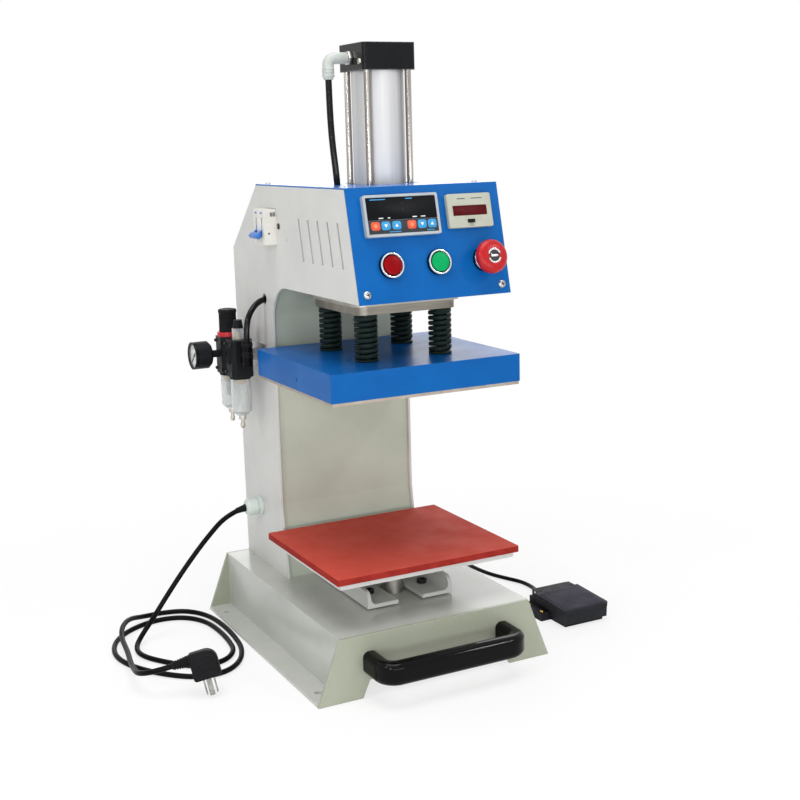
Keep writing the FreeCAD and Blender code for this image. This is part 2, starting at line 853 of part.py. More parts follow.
def vent_slots():
    """Slots that lean as the front panel does."""
    lean = lean_sin / lean_cos
    top = head_top - mm.vent_top_drop
    low = top - mm.vent_length
    slots = []
    for index in range(int(mm.vent_count.value)):
        y = -mm.vent_first_y - mm.vent_pitch * index
        low_y = y - mm.vent_length * lean
        slots.append([(y, top), (y - mm.vent_width, top), (low_y - mm.vent_width, low), (low_y, low)])
    return slots


breaker_height = head_top - mm.breaker_drop


def column():
    throat = [(mm.throat_radius, [(mm.column_front_y, mm.head_bottom_height)])]
    clearance = mm.breaker_window_clearance * 2
    window = rectangle(mm.breaker_width + clearance, mm.breaker_nose_height + clearance, mm.breaker_y,
                       breaker_height)
    ports = [((mm.hose_port_y, hose_port_height), mm.hose_hole_diameter),
             ((mm.gland_y, mm.gland_height), mm.gland_spigot_diameter)]
    node("left_side_plate", plate("left_side", "YZ_Plane", [side_outline(), window] + vent_slots(),
                                  mm.side_sheet,
                                  (-column_half, 0, 0), None, ports, throat))
    node("right_side_plate", plate("right_side", "YZ_Plane", [side_outline()] + vent_slots(), mm.side_sheet,
                                   (column_inner_half, 0, 0), None, (), throat))

    inset = mm.throat_inset
    sheet = mm.throat_sheet
    base_top = mm.base_height
    flare_top = base_top + mm.foot_flare_height
    front = -mm.head_front_bottom_reach + mm.throat_front_gap
    outline = [(mm.foot_front_y + inset, base_top), (mm.column_front_y + inset, flare_top),
               (mm.column_front_y + inset, throat_floor), (front, throat_floor), (front, throat_roof),
               (mm.column_front_y + inset + sheet, throat_roof),
               (mm.column_front_y + inset + sheet, flare_top),
               (mm.foot_front_y + inset + sheet, base_top)]
    rounds = [(mm.throat_radius - inset, [outline[2]]), (mm.throat_radius - inset - sheet, [outline[5]])]
    folded = plate("throat_folded", "YZ_Plane", [outline], column_inner_width, (-column_inner_half, 0, 0),
                   None,
                   (), rounds)
    passage = rod("throat_rod_drill", mm.rod_diameter + mm.rod_clearance * 2, sheet + mm.overrun * 2,
                  (0, mm.ram_y, throat_floor - mm.overrun))
    node("throat_plate", cut("throat_drilled", folded, passage))

    back = column_back_y
    back_in = back - mm.cover_sheet
    slope_run = back - mm.head_back_top_y
    slope_rise = head_top - mm.cover_sheet - mm.head_back_low_height
    slope_length = root(slope_run * slope_run + slope_rise * slope_rise)
    drop = mm.cover_sheet * slope_length / slope_run
    bend_drop = drop - mm.cover_sheet * slope_rise / slope_run
    rear = [(back, base_top), (back, mm.head_back_low_height), (mm.head_back_top_y,
                                                                head_top - mm.cover_sheet),
            (mm.head_back_top_y, head_top - mm.cover_sheet - drop),
            (back_in, mm.head_back_low_height - bend_drop),
            (back_in, base_top)]
    node("rear_cover", plate("rear_folded", "YZ_Plane", [rear], column_inner_width,
                             (-column_inner_half, 0, 0)))

    top_front = mm.cover_sheet / lean_cos - mm.head_front_top_reach
    top_depth = mm.head_back_top_y - top_front
    opening = mm.cylinder_cap_width + mm.cap_opening_clearance * 2
    top_outline = rectangle(mm.column_width, top_depth, 0, (mm.head_back_top_y + top_front) / 2)
    hose_hole = [((hose_drop_x + mm.hose_diameter, mm.ram_y), mm.hose_hole_diameter)]
    cylinder_hole = rectangle(opening, opening, 0, mm.ram_y)
    node("top_cover", plate("top_sheet", "XY_Plane", [top_outline, cylinder_hole], mm.cover_sheet,
                            (0, 0, head_top - mm.cover_sheet), None, hose_hole))


def pan_screw(name, at, turn):
    """A domed cover screw, from the face that it clamps."""
    head = mm.cover_screw_head_diameter / 2
    shank = mm.cover_screw_diameter / 2
    crown = mm.cover_screw_head_height
    profile = [(0, -mm.cover_screw_length), (shank, -mm.cover_screw_length), (shank, 0), (head, 0),
               (head, crown / 3), (head * 2 / 3, crown), (0, crown)]
    return turned(name, profile, at, turn)


def screws():
    reach = mm.column_width / 2 - mm.cover_screw_margin
    low = panel_length - mm.cover_screw_margin
    pieces = [pan_screw(f"panel_screw{side}", on_panel(side * reach, low), PANEL_TURN) for side in (-1, 1)]
    node("panel_screws", group("panel_screw_set", pieces))

    inside = mm.base_sheet - mm.base_depth / 2
    caps = [socket_screw(f"handle_screw{side}", mm.handle_screw_length,
                         (side * mm.handle_span / 2, inside, mm.handle_height),
                         FACING["Y"]) for side in (-1, 1)]
    seat = mm.base_height + mm.rail_shim + mm.rail_thickness
    for index, (x, y) in enumerate(rail_bolt_places()):
        caps.append(socket_screw(f"rail_bolt{index}", mm.rail_thickness + mm.rail_shim + mm.base_sheet,
                                 (x, y, seat),
                                 FACING["Z"]))
    node("socket_screws", group("socket_screw_set", caps))


# Front panel and its devices

def front_panel():
    reach = mm.column_width / 2 - mm.cover_screw_margin
    low = panel_length - mm.cover_screw_margin
    outline = rectangle(mm.column_width, panel_length, 0, -panel_length / 2)
    flange = mm.controller_flange * 2
    windows = [rectangle(mm.controller_width - flange, mm.controller_height - flange, mm.controller_across,
                         -mm.controller_down),
               rectangle(mm.counter_width - flange, mm.counter_height - flange, mm.counter_across,
                         -mm.counter_down)]
    holes = [((across, -mm.button_row_down), mm.button_hole_diameter)
             for across in (mm.red_button_across, mm.green_button_across, mm.stop_button_across)]
    holes += [((side * reach, -low), mm.cover_screw_diameter) for side in (-1, 1)]
    node("front_panel", plate("panel_sheet", "XY_Plane", [outline] + windows, mm.cover_sheet,
                              on_panel(0, 0, -mm.cover_sheet), PANEL_TURN, holes))


def device(name, width, height, bezel, across, down, rear_depth, recesses):
    """A panel instrument: rounded bezel outside, plain box through the panel."""
    front = plate(name + "_bezel", "XY_Plane", [rectangle(width, height)], bezel, on_panel(across, down),
                  PANEL_TURN,
                  (), [(mm.device_corner_round, rectangle(width, height))])
    flange = mm.controller_flange * 2 + mm.breaker_window_clearance
    rear = panel_block(name + "_rear", width - flange, height - flange, rear_depth + mm.overrun, across,
                       down,
                       -rear_depth)
    return cut(name + "_cut", fuse(name + "_solid", front, rear), *recesses)


def instruments():
    rim = mm.controller_rim * 2
    face = panel_block("controller_face", mm.controller_width - rim, mm.controller_height - rim,
                       mm.controller_bezel,
                       mm.controller_across, mm.controller_down,
                       mm.controller_bezel - mm.controller_face_recess)
    node("controller", device("controller", mm.controller_width, mm.controller_height, mm.controller_bezel,
                              mm.controller_across, mm.controller_down, mm.controller_rear_depth, [face]))

    window = panel_block("counter_glass", mm.counter_window_width, mm.counter_window_height,
                         mm.counter_bezel,
                         mm.counter_across, mm.counter_down, mm.counter_bezel - mm.counter_window_recess)
    clearance = mm.button_cap_clearance * 2
    key_down = mm.counter_down + mm.reset_key_drop
    well_depth = mm.reset_key_depth + mm.reset_key_travel
    well = panel_block("reset_well", mm.reset_key_width + clearance, mm.reset_key_height + clearance,
                       well_depth + mm.overrun, mm.counter_across, key_down, mm.counter_bezel - well_depth)
    node("counter", device("counter", mm.counter_width, mm.counter_height, mm.counter_bezel,
                           mm.counter_across,
                           mm.counter_down, mm.counter_rear_depth, [window, well]))
    node("counter_reset_key", panel_block("reset_key", mm.reset_key_width, mm.reset_key_height,
                                          mm.reset_key_depth + mm.reset_key_proud, mm.counter_across,
                                          key_down,
                                          mm.counter_bezel - mm.reset_key_depth))


def buttons():
    barrel = mm.button_hole_diameter / 2 - mm.button_barrel_clearance
    collar = mm.button_collar_diameter / 2
    bore = mm.button_bore_diameter / 2
    top = mm.button_collar_height
    chamfer = mm.button_collar_chamfer
    well = top - mm.button_bore_depth
    bezel = [(0, -mm.button_barrel_length), (barrel, -mm.button_barrel_length), (barrel, 0), (collar, 0),
             (collar, top - chamfer), (collar - chamfer, top), (bore, top), (bore, well), (0, well)]
    places = {"red": mm.red_button_across, "green": mm.green_button_across, "stop": mm.stop_button_across}
    bezels = [turned(f"{colour}_bezel", bezel, on_panel(across, mm.button_row_down), PANEL_TURN)
              for colour, across in places.items()]
    node("button_bezels", group("bezel_set", bezels))

    cap = bore - mm.button_cap_clearance
    crown = top + mm.button_cap_proud
    edge = mm.button_cap_chamfer
    low = crown - mm.button_cap_height * 2 / 3
    for colour in ("red", "green"):
        profile = [(0, low), (cap, low), (cap, crown - edge), (cap - edge, crown), (0, crown)]
        node(f"{colour}_button_cap", turned(f"{colour}_cap", profile,
                                            on_panel(places[colour], mm.button_row_down),
                                            PANEL_TURN))

    seat = top + mm.stop_head_lift
    pivot = mm.stop_pivot_diameter / 2
    spindle = seat + mm.stop_pivot_height
    stem = [(0, top - mm.stop_stem_below), (cap, top - mm.stop_stem_below), (cap, seat), (pivot, seat),
            (pivot, spindle), (0, spindle)]
    stop_place = on_panel(mm.stop_button_across, mm.button_row_down)
    node("stop_button_stem", turned("stop_stem", stem, stop_place, PANEL_TURN))
    head = mm.stop_head_diameter / 2
    socket = pivot + mm.turning_clearance
    socket_top = spindle + mm.turning_clearance
    dome = seat + mm.stop_head_height
    slope = mm.stop_head_chamfer
    mushroom = [(socket, seat), (head - slope / 2, seat), (head, seat + slope), (head, dome - slope),
                (head - slope, dome), (0, dome), (0, socket_top), (socket, socket_top)]
    node("stop_button_head", turned("stop_head", mushroom, stop_place, PANEL_TURN))


# Circuit breaker

def breaker():
    """A din-rail breaker whose nose comes through the side plate, with one bar across its two levers."""
    face = -column_half - mm.breaker_nose_reach
    nose_low = breaker_height - mm.breaker_nose_height / 2
    back = mm.breaker_y - mm.breaker_width / 2
    nose = block("breaker_nose", (mm.breaker_nose_reach + mm.side_sheet, mm.breaker_width,
                                  mm.breaker_nose_height),
                 (face, back, nose_low))
    rear = block("breaker_rear", (mm.breaker_body_depth, mm.breaker_width, mm.breaker_body_height),
                 (-column_inner_half, back, breaker_height - mm.breaker_body_height / 2))
    slot = block("breaker_slot", (mm.breaker_slot_depth + mm.overrun,
                                  mm.breaker_width - mm.breaker_slot_margin * 2,
                                  mm.breaker_slot_height),
                 (face - mm.overrun, back + mm.breaker_slot_margin,
                  breaker_height - mm.breaker_slot_height / 2))
    node("breaker_body", cut("breaker_slotted", fuse("breaker_solid", nose, rear), slot))

    width = mm.breaker_width - mm.breaker_slot_margin * 2 - mm.toggle_side_clearance * 2
    near = mm.breaker_y - width / 2
    hub_x = face + mm.toggle_hub_inset
    hub = rod("toggle_hub", mm.toggle_hub_diameter, width, (hub_x, near, breaker_height), FACING["Y"])
    angle = math.radians(TOGGLE_REST_ANGLE)
    turn = Rotation(Vector(0, 1, 0), 180 + TOGGLE_REST_ANGLE)
    thick = mm.toggle_arm_thickness
    arm = block("toggle_arm", (mm.toggle_arm_length, width, thick),
                (hub_x + thick / 2 * math.sin(angle), near, breaker_height + thick / 2 * math.cos(angle)),
                turn)
    reach = mm.toggle_arm_length
    bar = rod("toggle_bar", mm.toggle_bar_diameter, width,
              (hub_x - reach * math.cos(angle), near, breaker_height + reach * math.sin(angle)),
              FACING["Y"])
    node("breaker_toggle", fuse("toggle", hub, arm, bar))


# Air cylinder and ram

def cylinder_cap(name, height, bottom, bored):
    square = rectangle(mm.cylinder_cap_width, mm.cylinder_cap_width)
    offset = mm.tie_rod_offset * 2
    holes = [(place_at, mm.tie_rod_diameter + mm.tie_rod_clearance * 2)
             for place_at in four_corners(offset, offset)]
    if bored:
        holes.append(((0, 0), mm.rod_diameter + mm.rod_clearance * 2))
    return plate(name, "XY_Plane", [square], height, (0, mm.ram_y, bottom), None, holes,
                 [(mm.cylinder_cap_round, square)])


def cylinder():
    node("cylinder_bottom_cap", cylinder_cap("bottom_cap", mm.bottom_cap_height, throat_roof, True))
    wells = []
    offset = mm.tie_rod_offset * 2
    places = four_corners(offset, offset, mm.ram_y)
    for index, (x, y) in enumerate(places):
        wells.append(rod(f"tie_well{index}", mm.tie_head_diameter + mm.tie_rod_clearance * 2,
                         mm.tie_head_well + mm.overrun, (x, y, cylinder_top - mm.tie_head_well)))
    cap = cylinder_cap("top_cap", mm.top_cap_height, tube_top, False)
    node("cylinder_top_cap", cut("top_cap_drilled", cap, *wells))

    outer = mm.tube_diameter / 2
    inner = mm.tube_bore / 2
    node("cylinder_tube", turned("tube", [(inner, 0), (outer, 0), (outer, tube_length),
                                          (inner, tube_length)],
                                 (0, mm.ram_y, tube_bottom)))
    rod_radius = mm.tie_rod_diameter / 2
    head = mm.tie_head_diameter / 2
    head_seat = cylinder_top - mm.tie_head_well - throat_roof
    head_top_at = head_seat + mm.tie_head_height
    tie = [(0, 0), (rod_radius, 0), (rod_radius, head_seat), (head, head_seat), (head, head_top_at),
           (0, head_top_at)]
    node("tie_rods", group("tie_rod_set", [turned(f"tie_rod{index}", tie, (x, y, throat_roof))
                                           for index, (x, y) in enumerate(places)]))

    piston_top = tube_top - mm.piston_end_clearance
    piston_low = piston_top - mm.piston_length
    wide = inner - mm.piston_clearance
    node("piston", rod("piston_disc", wide * 2, mm.piston_length, (0, mm.ram_y, piston_low)))
    node("piston_rod", rod("ram_rod", mm.rod_diameter, piston_low - pressure_plate_top,
                           (0, mm.ram_y, pressure_plate_top)))


def air_line():
    """White elbow on the cap, the hose down into the head, and the valve that feeds it."""
    face = -mm.cylinder_cap_width / 2
    neck = rod("elbow_neck", mm.elbow_neck_diameter, mm.elbow_reach, (face, mm.ram_y, elbow_height),
               FACING["-X"])
    nut = rod("elbow_nut", mm.elbow_nut_diameter, mm.elbow_nut_length, (face, mm.ram_y, elbow_height),
              FACING["-X"])
    barrel = rod("elbow_barrel", mm.elbow_barrel_diameter, mm.elbow_barrel_above + mm.elbow_barrel_below,
                 (hose_drop_x, mm.ram_y, elbow_height - mm.elbow_barrel_below))
    node("cap_elbow", fuse("elbow", neck, nut, barrel))

    valve_top = throat_roof + mm.valve_height
    valve_y = mm.ram_y - mm.valve_depth / 2
    valve_x = hose_drop_x + mm.hose_diameter - mm.valve_width / 2
    body = block("valve_body", (mm.valve_width, mm.valve_depth, mm.valve_height),
                 (valve_x, valve_y, throat_roof))
    coil = block("valve_coil", (mm.valve_width, mm.valve_coil_depth + mm.overrun, mm.valve_coil_height),
                 (valve_x, valve_y + mm.valve_depth - mm.overrun, throat_roof))
    node("solenoid_valve", fuse("valve", body, coil))

    start = Vector(hose_drop_x.value, mm.ram_y.value, (elbow_height - mm.elbow_barrel_below).value)
    shift = mm.hose_diameter.value
    end = Vector(hose_drop_x.value + shift, mm.ram_y.value, valve_top.value)
    drop = start.z - end.z
    points = [start]
    for fall_share, side_share, back_share in HOSE_SHARES:
        points.append(Vector(start.x + shift * side_share, start.y + shift * back_share,
                             start.z - drop * fall_share))
    points.append(end)
    node("cylinder_hose", formed("drop_hose", route_tube("cylinder_hose", points, mm.hose_diameter.value)))


# Way down the drop hose: share of the fall, then sideways and forward drift in hose diameters
HOSE_SHARES = [(0.2, 0.0, -0.05), (0.42, 0.1, -0.3), (0.63, 0.55, -0.35), (0.82, 0.95, -0.1)]


# Press head

def press_head():
    mount_outline = rectangle(mm.mount_plate_width, mm.mount_plate_depth)
    bore = [((0, 0), mm.rod_diameter + mm.rod_clearance * 2)]
    node("cylinder_mount_plate", plate("mount", "XY_Plane", [mount_outline], mm.mount_plate_thickness,
                                       (0, mm.ram_y, mount_plate_bottom), None, bore,
                                       [(mm.press_plate_round, mount_outline)]))
    moving_outline = rectangle(mm.pressure_plate_width, mm.pressure_plate_depth)
    node("pressure_plate", plate("pressure", "XY_Plane", [moving_outline], mm.pressure_plate_thickness,
                                 (0, mm.ram_y, pressure_plate_bottom), None, (),
                                 [(mm.press_plate_round, moving_outline)]))

    shank = mm.guide_bolt_diameter / 2
    head = mm.guide_head_diameter / 2
    seat = -mm.spring_length - mm.platen_sheet - mm.turning_clearance
    foot = seat - mm.guide_head_height
    bolt = [(0, foot), (head, foot), (head, seat), (shank, seat), (shank, 0), (0, 0)]
    node("guide_bolts", group("guide_bolt_set",
                              [turned(f"guide_bolt{index}", bolt, (x, y, pressure_plate_bottom))
                                                 for index, (x, y) in enumerate(spring_places)]))
    node("press_springs", formed("springs", spring_set()))

    outer = rectangle(mm.platen_width, mm.platen_depth)
    holes = [(place_at, mm.guide_bolt_diameter + mm.guide_hole_clearance * 2)
             for place_at in four_corners(mm.spring_spacing_x, mm.spring_spacing_y)]
    lid = plate("platen_lid", "XY_Plane", [outer], mm.platen_cover_height, (0, mm.ram_y, platen_bottom),
                None, holes,
                [(mm.platen_corner_round, outer)])
    wall = mm.platen_sheet * 2
    hollow_width = mm.platen_width - wall
    hollow_depth = mm.platen_depth - wall
    hollow = block("platen_hollow", (hollow_width, hollow_depth,
                                     mm.platen_cover_height - mm.platen_sheet + mm.overrun),
                   (-hollow_width / 2, mm.ram_y - hollow_depth / 2, platen_bottom - mm.overrun))
    node("platen_cover", cut("platen_folded", lid, hollow))
    node("heating_plate", block("heater", (hollow_width, hollow_depth, mm.heating_plate_thickness),
                                (-hollow_width / 2, mm.ram_y - hollow_depth / 2,
                                 platen_bottom - mm.heating_plate_show)))


def spring_set():
    """Four wound springs, each one unbroken wire with closed ends, between the plate and the platen."""
    wire = mm.spring_wire.value
    radius = (mm.spring_diameter.value - wire) / 2
    end = mm.spring_end_clearance.value + wire / 2
    low = platen_top.value + end
    rise = mm.spring_length.value - end * 2
    turns = int(mm.spring_turns.value)
    steps = turns * 4
    climb = rise / steps
    springs = []
    for x, y in spring_places:
        stations = []
        for step in range(steps + 1):
            angle = math.pi / 2 * step
            point = Vector(x.value + radius * math.cos(angle), y.value + radius * math.sin(angle),
                           low + climb * step)
            way = Vector(-math.sin(angle), math.cos(angle), climb / (math.pi / 2 * radius))
            if step in (0, steps):
                way.z = 0
            way.normalize()
            stations.append((point, way))
        tube, edges = spring_wire_tube(stations, wire)
        springs.append(tube)
    samples = [point for edge in edges for point in edge.discretize(6)[:-1]]
    print(f"press_springs: least gap between coils {least_gap(samples, wire):.2f} mm")
    return Part.makeCompound(springs)


def spring_wire_tube(stations, wire):
    edges = []
    for (start, start_way), (end, end_way) in zip(stations, stations[1:]):
        edges.extend(biarc(start, start_way, end, end_way))
    first, first_way = stations[0]
    return pipe_along(edges, wire, first, first_way), edges


# Lower table

def table():
    pad_outline = rectangle(mm.pad_width, mm.pad_depth)
    pad_low = mm.table_height - mm.pad_thickness
    node("silicone_pad", plate("pad", "XY_Plane", [pad_outline], mm.pad_thickness, (0, mm.ram_y, pad_low),
                               None, (),
                               [(mm.pad_corner_round, pad_outline)]))
    inset = mm.table_plate_inset * 2
    plate_outline = rectangle(mm.pad_width - inset, mm.pad_depth - inset)
    plate_low = pad_low - mm.table_plate_thickness
    node("table_plate", plate("lower_plate", "XY_Plane", [plate_outline], mm.table_plate_thickness,
                              (0, mm.ram_y, plate_low), None, (), [(mm.pad_corner_round, plate_outline)]))
    stem = mm.post_diameter / 2
    flange = mm.post_flange_diameter / 2
    height = plate_low - mm.base_height
    neck = height - mm.post_flange_thickness
    node("table_post", turned("post", [(0, 0), (stem, 0), (stem, neck), (flange, neck), (flange, height),
                                       (0, height)],
                              (0, mm.ram_y, mm.base_height)))

    node("table_rails", group("rail_pair", [rail("left", -1), rail("right", 1)]))


def rail_bolt_places():
    across = mm.rail_outer_width / 2 - mm.rail_flange + mm.rail_bolt_inset
    return [(side * across, mm.rail_bolt_front_y + mm.rail_bolt_pitch * count) for side in (-1, 1)
            for count in (0, 1)]


def rail(name, side):
    """An angle rail with a rounded bend, a rounded nose, and two shims under its bolts."""
    outer = side * mm.rail_outer_width / 2
    thick = side * mm.rail_thickness
    inner = outer - side * mm.rail_flange
    low = mm.base_height + mm.rail_shim
    shelf = low + mm.rail_thickness
    top = low + mm.rail_height
    section = [(inner, low), (outer, low), (outer, top), (outer - thick, top), (outer - thick, shelf),
               (inner, shelf)]
    bend = (outer - thick, shelf)
    angle = plate(f"{name}_angle", "XZ_Plane", [section], mm.rail_length,
                  (0, mm.rail_front_y + mm.rail_length, 0),
                  None, (), [(mm.rail_bend_round, [bend])])
    nose = mm.rail_nose_round
    corner = block(f"{name}_nose_corner", (mm.rail_flange, nose + mm.overrun, nose + mm.overrun),
                   (mm.rail_outer_width * side / 2 - (mm.rail_flange if side > 0 else 0),
                    mm.rail_front_y - mm.overrun, top - nose))
    curve = rod(f"{name}_nose_curve", nose * 2, mm.rail_flange,
                (mm.rail_outer_width * side / 2 - (mm.rail_flange if side > 0 else 0),
                 mm.rail_front_y + nose,
                 top - nose), FACING["X"])
    rounded = cut(f"{name}_nosed", angle, cut(f"{name}_nose_cut", corner, curve))
    shims = []
    hole_x = side * (mm.rail_outer_width / 2 - mm.rail_flange + mm.rail_bolt_inset)
    drills = []
    for count in range(2):
        y = mm.rail_bolt_front_y + mm.rail_bolt_pitch * count
        shims.append(block(f"{name}_shim{count}", (mm.rail_shim_width, mm.rail_shim_width, mm.rail_shim),
                           (hole_x - mm.rail_shim_width / 2, y - mm.rail_shim_width / 2, mm.base_height)))
        drills.append(rod(f"{name}_rail_drill{count}", mm.socket_screw_diameter + mm.tie_rod_clearance * 2,
                          mm.rail_thickness + mm.rail_shim + mm.overrun * 2,
                          (hole_x, y, mm.base_height - mm.overrun)))
    return cut(f"{name}_rail_drilled", fuse(f"{name}_rail_solid", rounded, *shims), *drills)


# Air service unit

def air_body(name, y):
    half = mm.air_body_width / 2
    outline = rectangle(mm.air_body_width, mm.air_body_width)
    return plate(name, "XY_Plane", [outline], mm.air_body_height, (air_x, y, mm.air_body_bottom_height),
                 None, (),
                 [(mm.air_body_round, outline)]), half


def air_unit():
    regulator, half = air_body("regulator_block", mm.regulator_y)
    boss = rod("regulator_boss", mm.knob_boss_diameter, mm.knob_boss_height + mm.ring_height + mm.overrun,
               (air_x, mm.regulator_y, air_body_top - mm.overrun))
    node("regulator_body", fuse("regulator", regulator, boss))
    ring = mm.ring_diameter / 2
    boss_fit = mm.knob_boss_diameter / 2
    node("regulator_ring", turned("lock_ring", [(boss_fit, 0), (ring, 0), (ring, mm.ring_height),
                                                (boss_fit, mm.ring_height)],
                                                (air_x, mm.regulator_y, air_body_top)))
    knob = mm.knob_diameter / 2
    socket = boss_fit + mm.turning_clearance
    lift = mm.turning_clearance
    roof = mm.knob_boss_height + mm.turning_clearance
    rim = mm.knob_rim_chamfer
    profile = [(socket, lift), (knob - mm.knob_taper, lift), (knob, mm.knob_height / 2),
               (knob, mm.knob_height - rim), (knob - rim, mm.knob_height), (0, mm.knob_height), (0, roof),
               (socket, roof)]
    node("regulator_knob", turned("knob", profile, (air_x, mm.regulator_y, air_body_top + mm.ring_height)))

    lubricator, half = air_body("lubricator_block", lubricator_y)
    bridge = block("air_bridge", (mm.air_bridge_depth, mm.lubricator_pitch - half, mm.air_bridge_height),
                   (air_x - mm.air_bridge_depth / 2, lubricator_y, air_middle - mm.air_bridge_height / 2))
    post = rod("oil_post", mm.oil_post_diameter, mm.dome_height + mm.overrun * 2,
               (air_x, lubricator_y, air_body_top - mm.overrun))
    cap = tapered_rod("oil_cap", mm.oil_cap_diameter, mm.oil_cap_diameter - mm.knob_taper * 2,
                      mm.oil_cap_height,
                      (air_x, lubricator_y, air_body_top + mm.dome_height))
    node("lubricator_body", fuse("lubricator", lubricator, bridge, post, cap))

    clear = [clear_bowl("filter_bowl", mm.regulator_y, mm.bowl_length),
             clear_bowl("oil_bowl", lubricator_y, mm.bowl_length + mm.lubricator_bowl_extra)]
    dome = mm.dome_diameter / 2
    inner = dome - mm.dome_wall
    clear.append(turned("sight_dome", [(inner, 0), (dome, 0), (dome, mm.dome_height),
                                       (inner, mm.dome_height)],
                        (air_x, lubricator_y, air_body_top)))
    node("clear_bowls", group("clear_set", clear))
    drains = []
    for name, y, length in (("filter_drain", mm.regulator_y, mm.bowl_length),
                            ("oil_drain", lubricator_y, mm.bowl_length + mm.lubricator_bowl_extra)):
        wide = mm.drain_diameter / 2
        tip = mm.drain_tip_diameter / 2
        step = mm.drain_length / 3
        drain = [(0, 0), (wide, 0), (wide, step), (tip, step), (tip, step * 2), (wide * 2 / 3, step * 2),
                 (wide * 2 / 3, step * 5 / 2), (tip, mm.drain_length), (0, mm.drain_length)]
        drains.append(turned(name, drain, (air_x, y, mm.air_body_bottom_height - length), FACING["-Z"]))
    node("drain_cocks", group("drain_set", drains))

    plate_near = lubricator_y - mm.air_bracket_margin
    span = mm.lubricator_pitch + mm.air_bracket_margin * 2
    wall = block("bracket_wall", (mm.air_bracket_sheet, span, mm.air_bracket_height),
                 (-column_half - mm.air_bracket_sheet, plate_near, air_middle - mm.air_bracket_height / 2))
    arm_length = mm.air_unit_standoff - mm.air_bridge_depth / 2
    arm = block("bracket_arm", (arm_length, mm.lubricator_pitch - mm.air_body_width, mm.air_arm_height),
                (-column_half - arm_length, lubricator_y + half, air_middle - mm.air_arm_height / 2))
    node("air_bracket", fuse("bracket", wall, arm))
    gauge(air_middle + mm.gauge_rise)
    supply_hose()


def clear_bowl(name, y, length):
    """A clear bowl that hangs under its body, open at the top and closed by a chamfered floor."""
    outer = mm.bowl_diameter / 2
    wall = mm.bowl_wall
    inner = outer - wall
    chamfer = mm.bowl_chamfer
    profile = [(inner, 0), (outer, 0), (outer, length - chamfer), (outer - chamfer, length), (0, length),
               (0, length - wall), (inner - chamfer, length - wall), (inner, length - chamfer)]
    return turned(name, profile, (air_x, y, mm.air_body_bottom_height), FACING["-Z"])


gauge_face_x = air_x - mm.air_body_width / 2 - mm.gauge_neck_length


def gauge(height):
    """A dial gauge that faces left, with its needle on a pin in the middle of the dial."""
    radius = mm.gauge_diameter / 2
    neck = mm.gauge_neck_diameter / 2
    bore = radius - mm.gauge_rim
    start = -mm.gauge_neck_length
    floor = mm.gauge_length - mm.gauge_recess
    pivot = mm.needle_pivot_diameter / 2
    tip = floor + mm.needle_gap * 2 + mm.needle_thickness
    profile = [(0, start), (neck, start), (neck, 0), (radius - mm.gauge_back_chamfer, 0),
               (radius, mm.gauge_back_chamfer), (radius, mm.gauge_length), (bore, mm.gauge_length),
               (bore, floor),
               (pivot, floor), (pivot, tip), (0, tip)]
    at = (gauge_face_x, mm.regulator_y, height)
    node("gauge_case", turned("gauge", profile, at, FACING["-X"]))

    level = gauge_face_x - floor - mm.needle_gap
    hub = rod("needle_hub", mm.needle_hub_diameter, mm.needle_thickness, (level, mm.regulator_y, height),
              FACING["-X"])
    angle = math.radians(NEEDLE_REST_ANGLE)
    tail = mm.needle_tail
    half = mm.needle_width / 2
    hand = block("needle_hand", (mm.needle_thickness, mm.needle_width, mm.needle_length + tail),
                 (level - mm.needle_thickness,
                  mm.regulator_y + tail * math.sin(angle) - half * math.cos(angle),
                  height - tail * math.cos(angle) - half * math.sin(angle)),
                 Rotation(Vector(1, 0, 0), NEEDLE_REST_ANGLE))
    hole = rod("needle_hole", mm.needle_pivot_diameter + mm.needle_gap,
               mm.needle_thickness + mm.overrun * 2,
               (level + mm.overrun, mm.regulator_y, height), FACING["-X"])
    node("gauge_needle", cut("needle", fuse("needle_solid", hub, hand), hole))


def supply_hose():
    """Black elbow on the lubricator's outlet, and the hose from it into the column."""
    outlet = lubricator_y - mm.air_body_width / 2
    turn_y = outlet - mm.air_elbow_reach + mm.air_elbow_diameter / 2
    neck = rod("outlet_neck", mm.air_elbow_diameter, mm.air_elbow_reach - mm.air_elbow_diameter / 2,
               (air_x, outlet, air_middle), FACING["-Y"])
    riser = rod("outlet_riser", mm.air_elbow_diameter, mm.air_elbow_rise + mm.air_elbow_diameter / 2,
                (air_x, turn_y, air_middle - mm.air_elbow_diameter / 2))
    node("outlet_elbow", fuse("outlet", neck, riser))
    start = Vector(air_x.value, turn_y.value, outlet_top.value)
    end = Vector(-column_half.value, mm.hose_port_y.value, hose_port_height.value)
    inside = mm.side_sheet.value * 4
    rise = end.z - start.z
    points = [start]
    for x_share, y_share, z_share in SUPPLY_SHARES:
        points.append(Vector(start.x + (end.x - start.x) * x_share, start.y + (end.y - start.y) * y_share,
                             start.z + rise * z_share))
    points.append(end + Vector(inside, inside / 4, 0))
    node("supply_hose", formed("side_hose", route_tube("supply_hose", points, mm.hose_diameter.value)))


# Way of the supply hose: shares of the distance to its port along X, Y and Z
SUPPLY_SHARES = [(0.0, 0.0, 0.42), (0.31, 0.31, 0.79), (0.84, 0.84, 1.0)]


# Mains lead

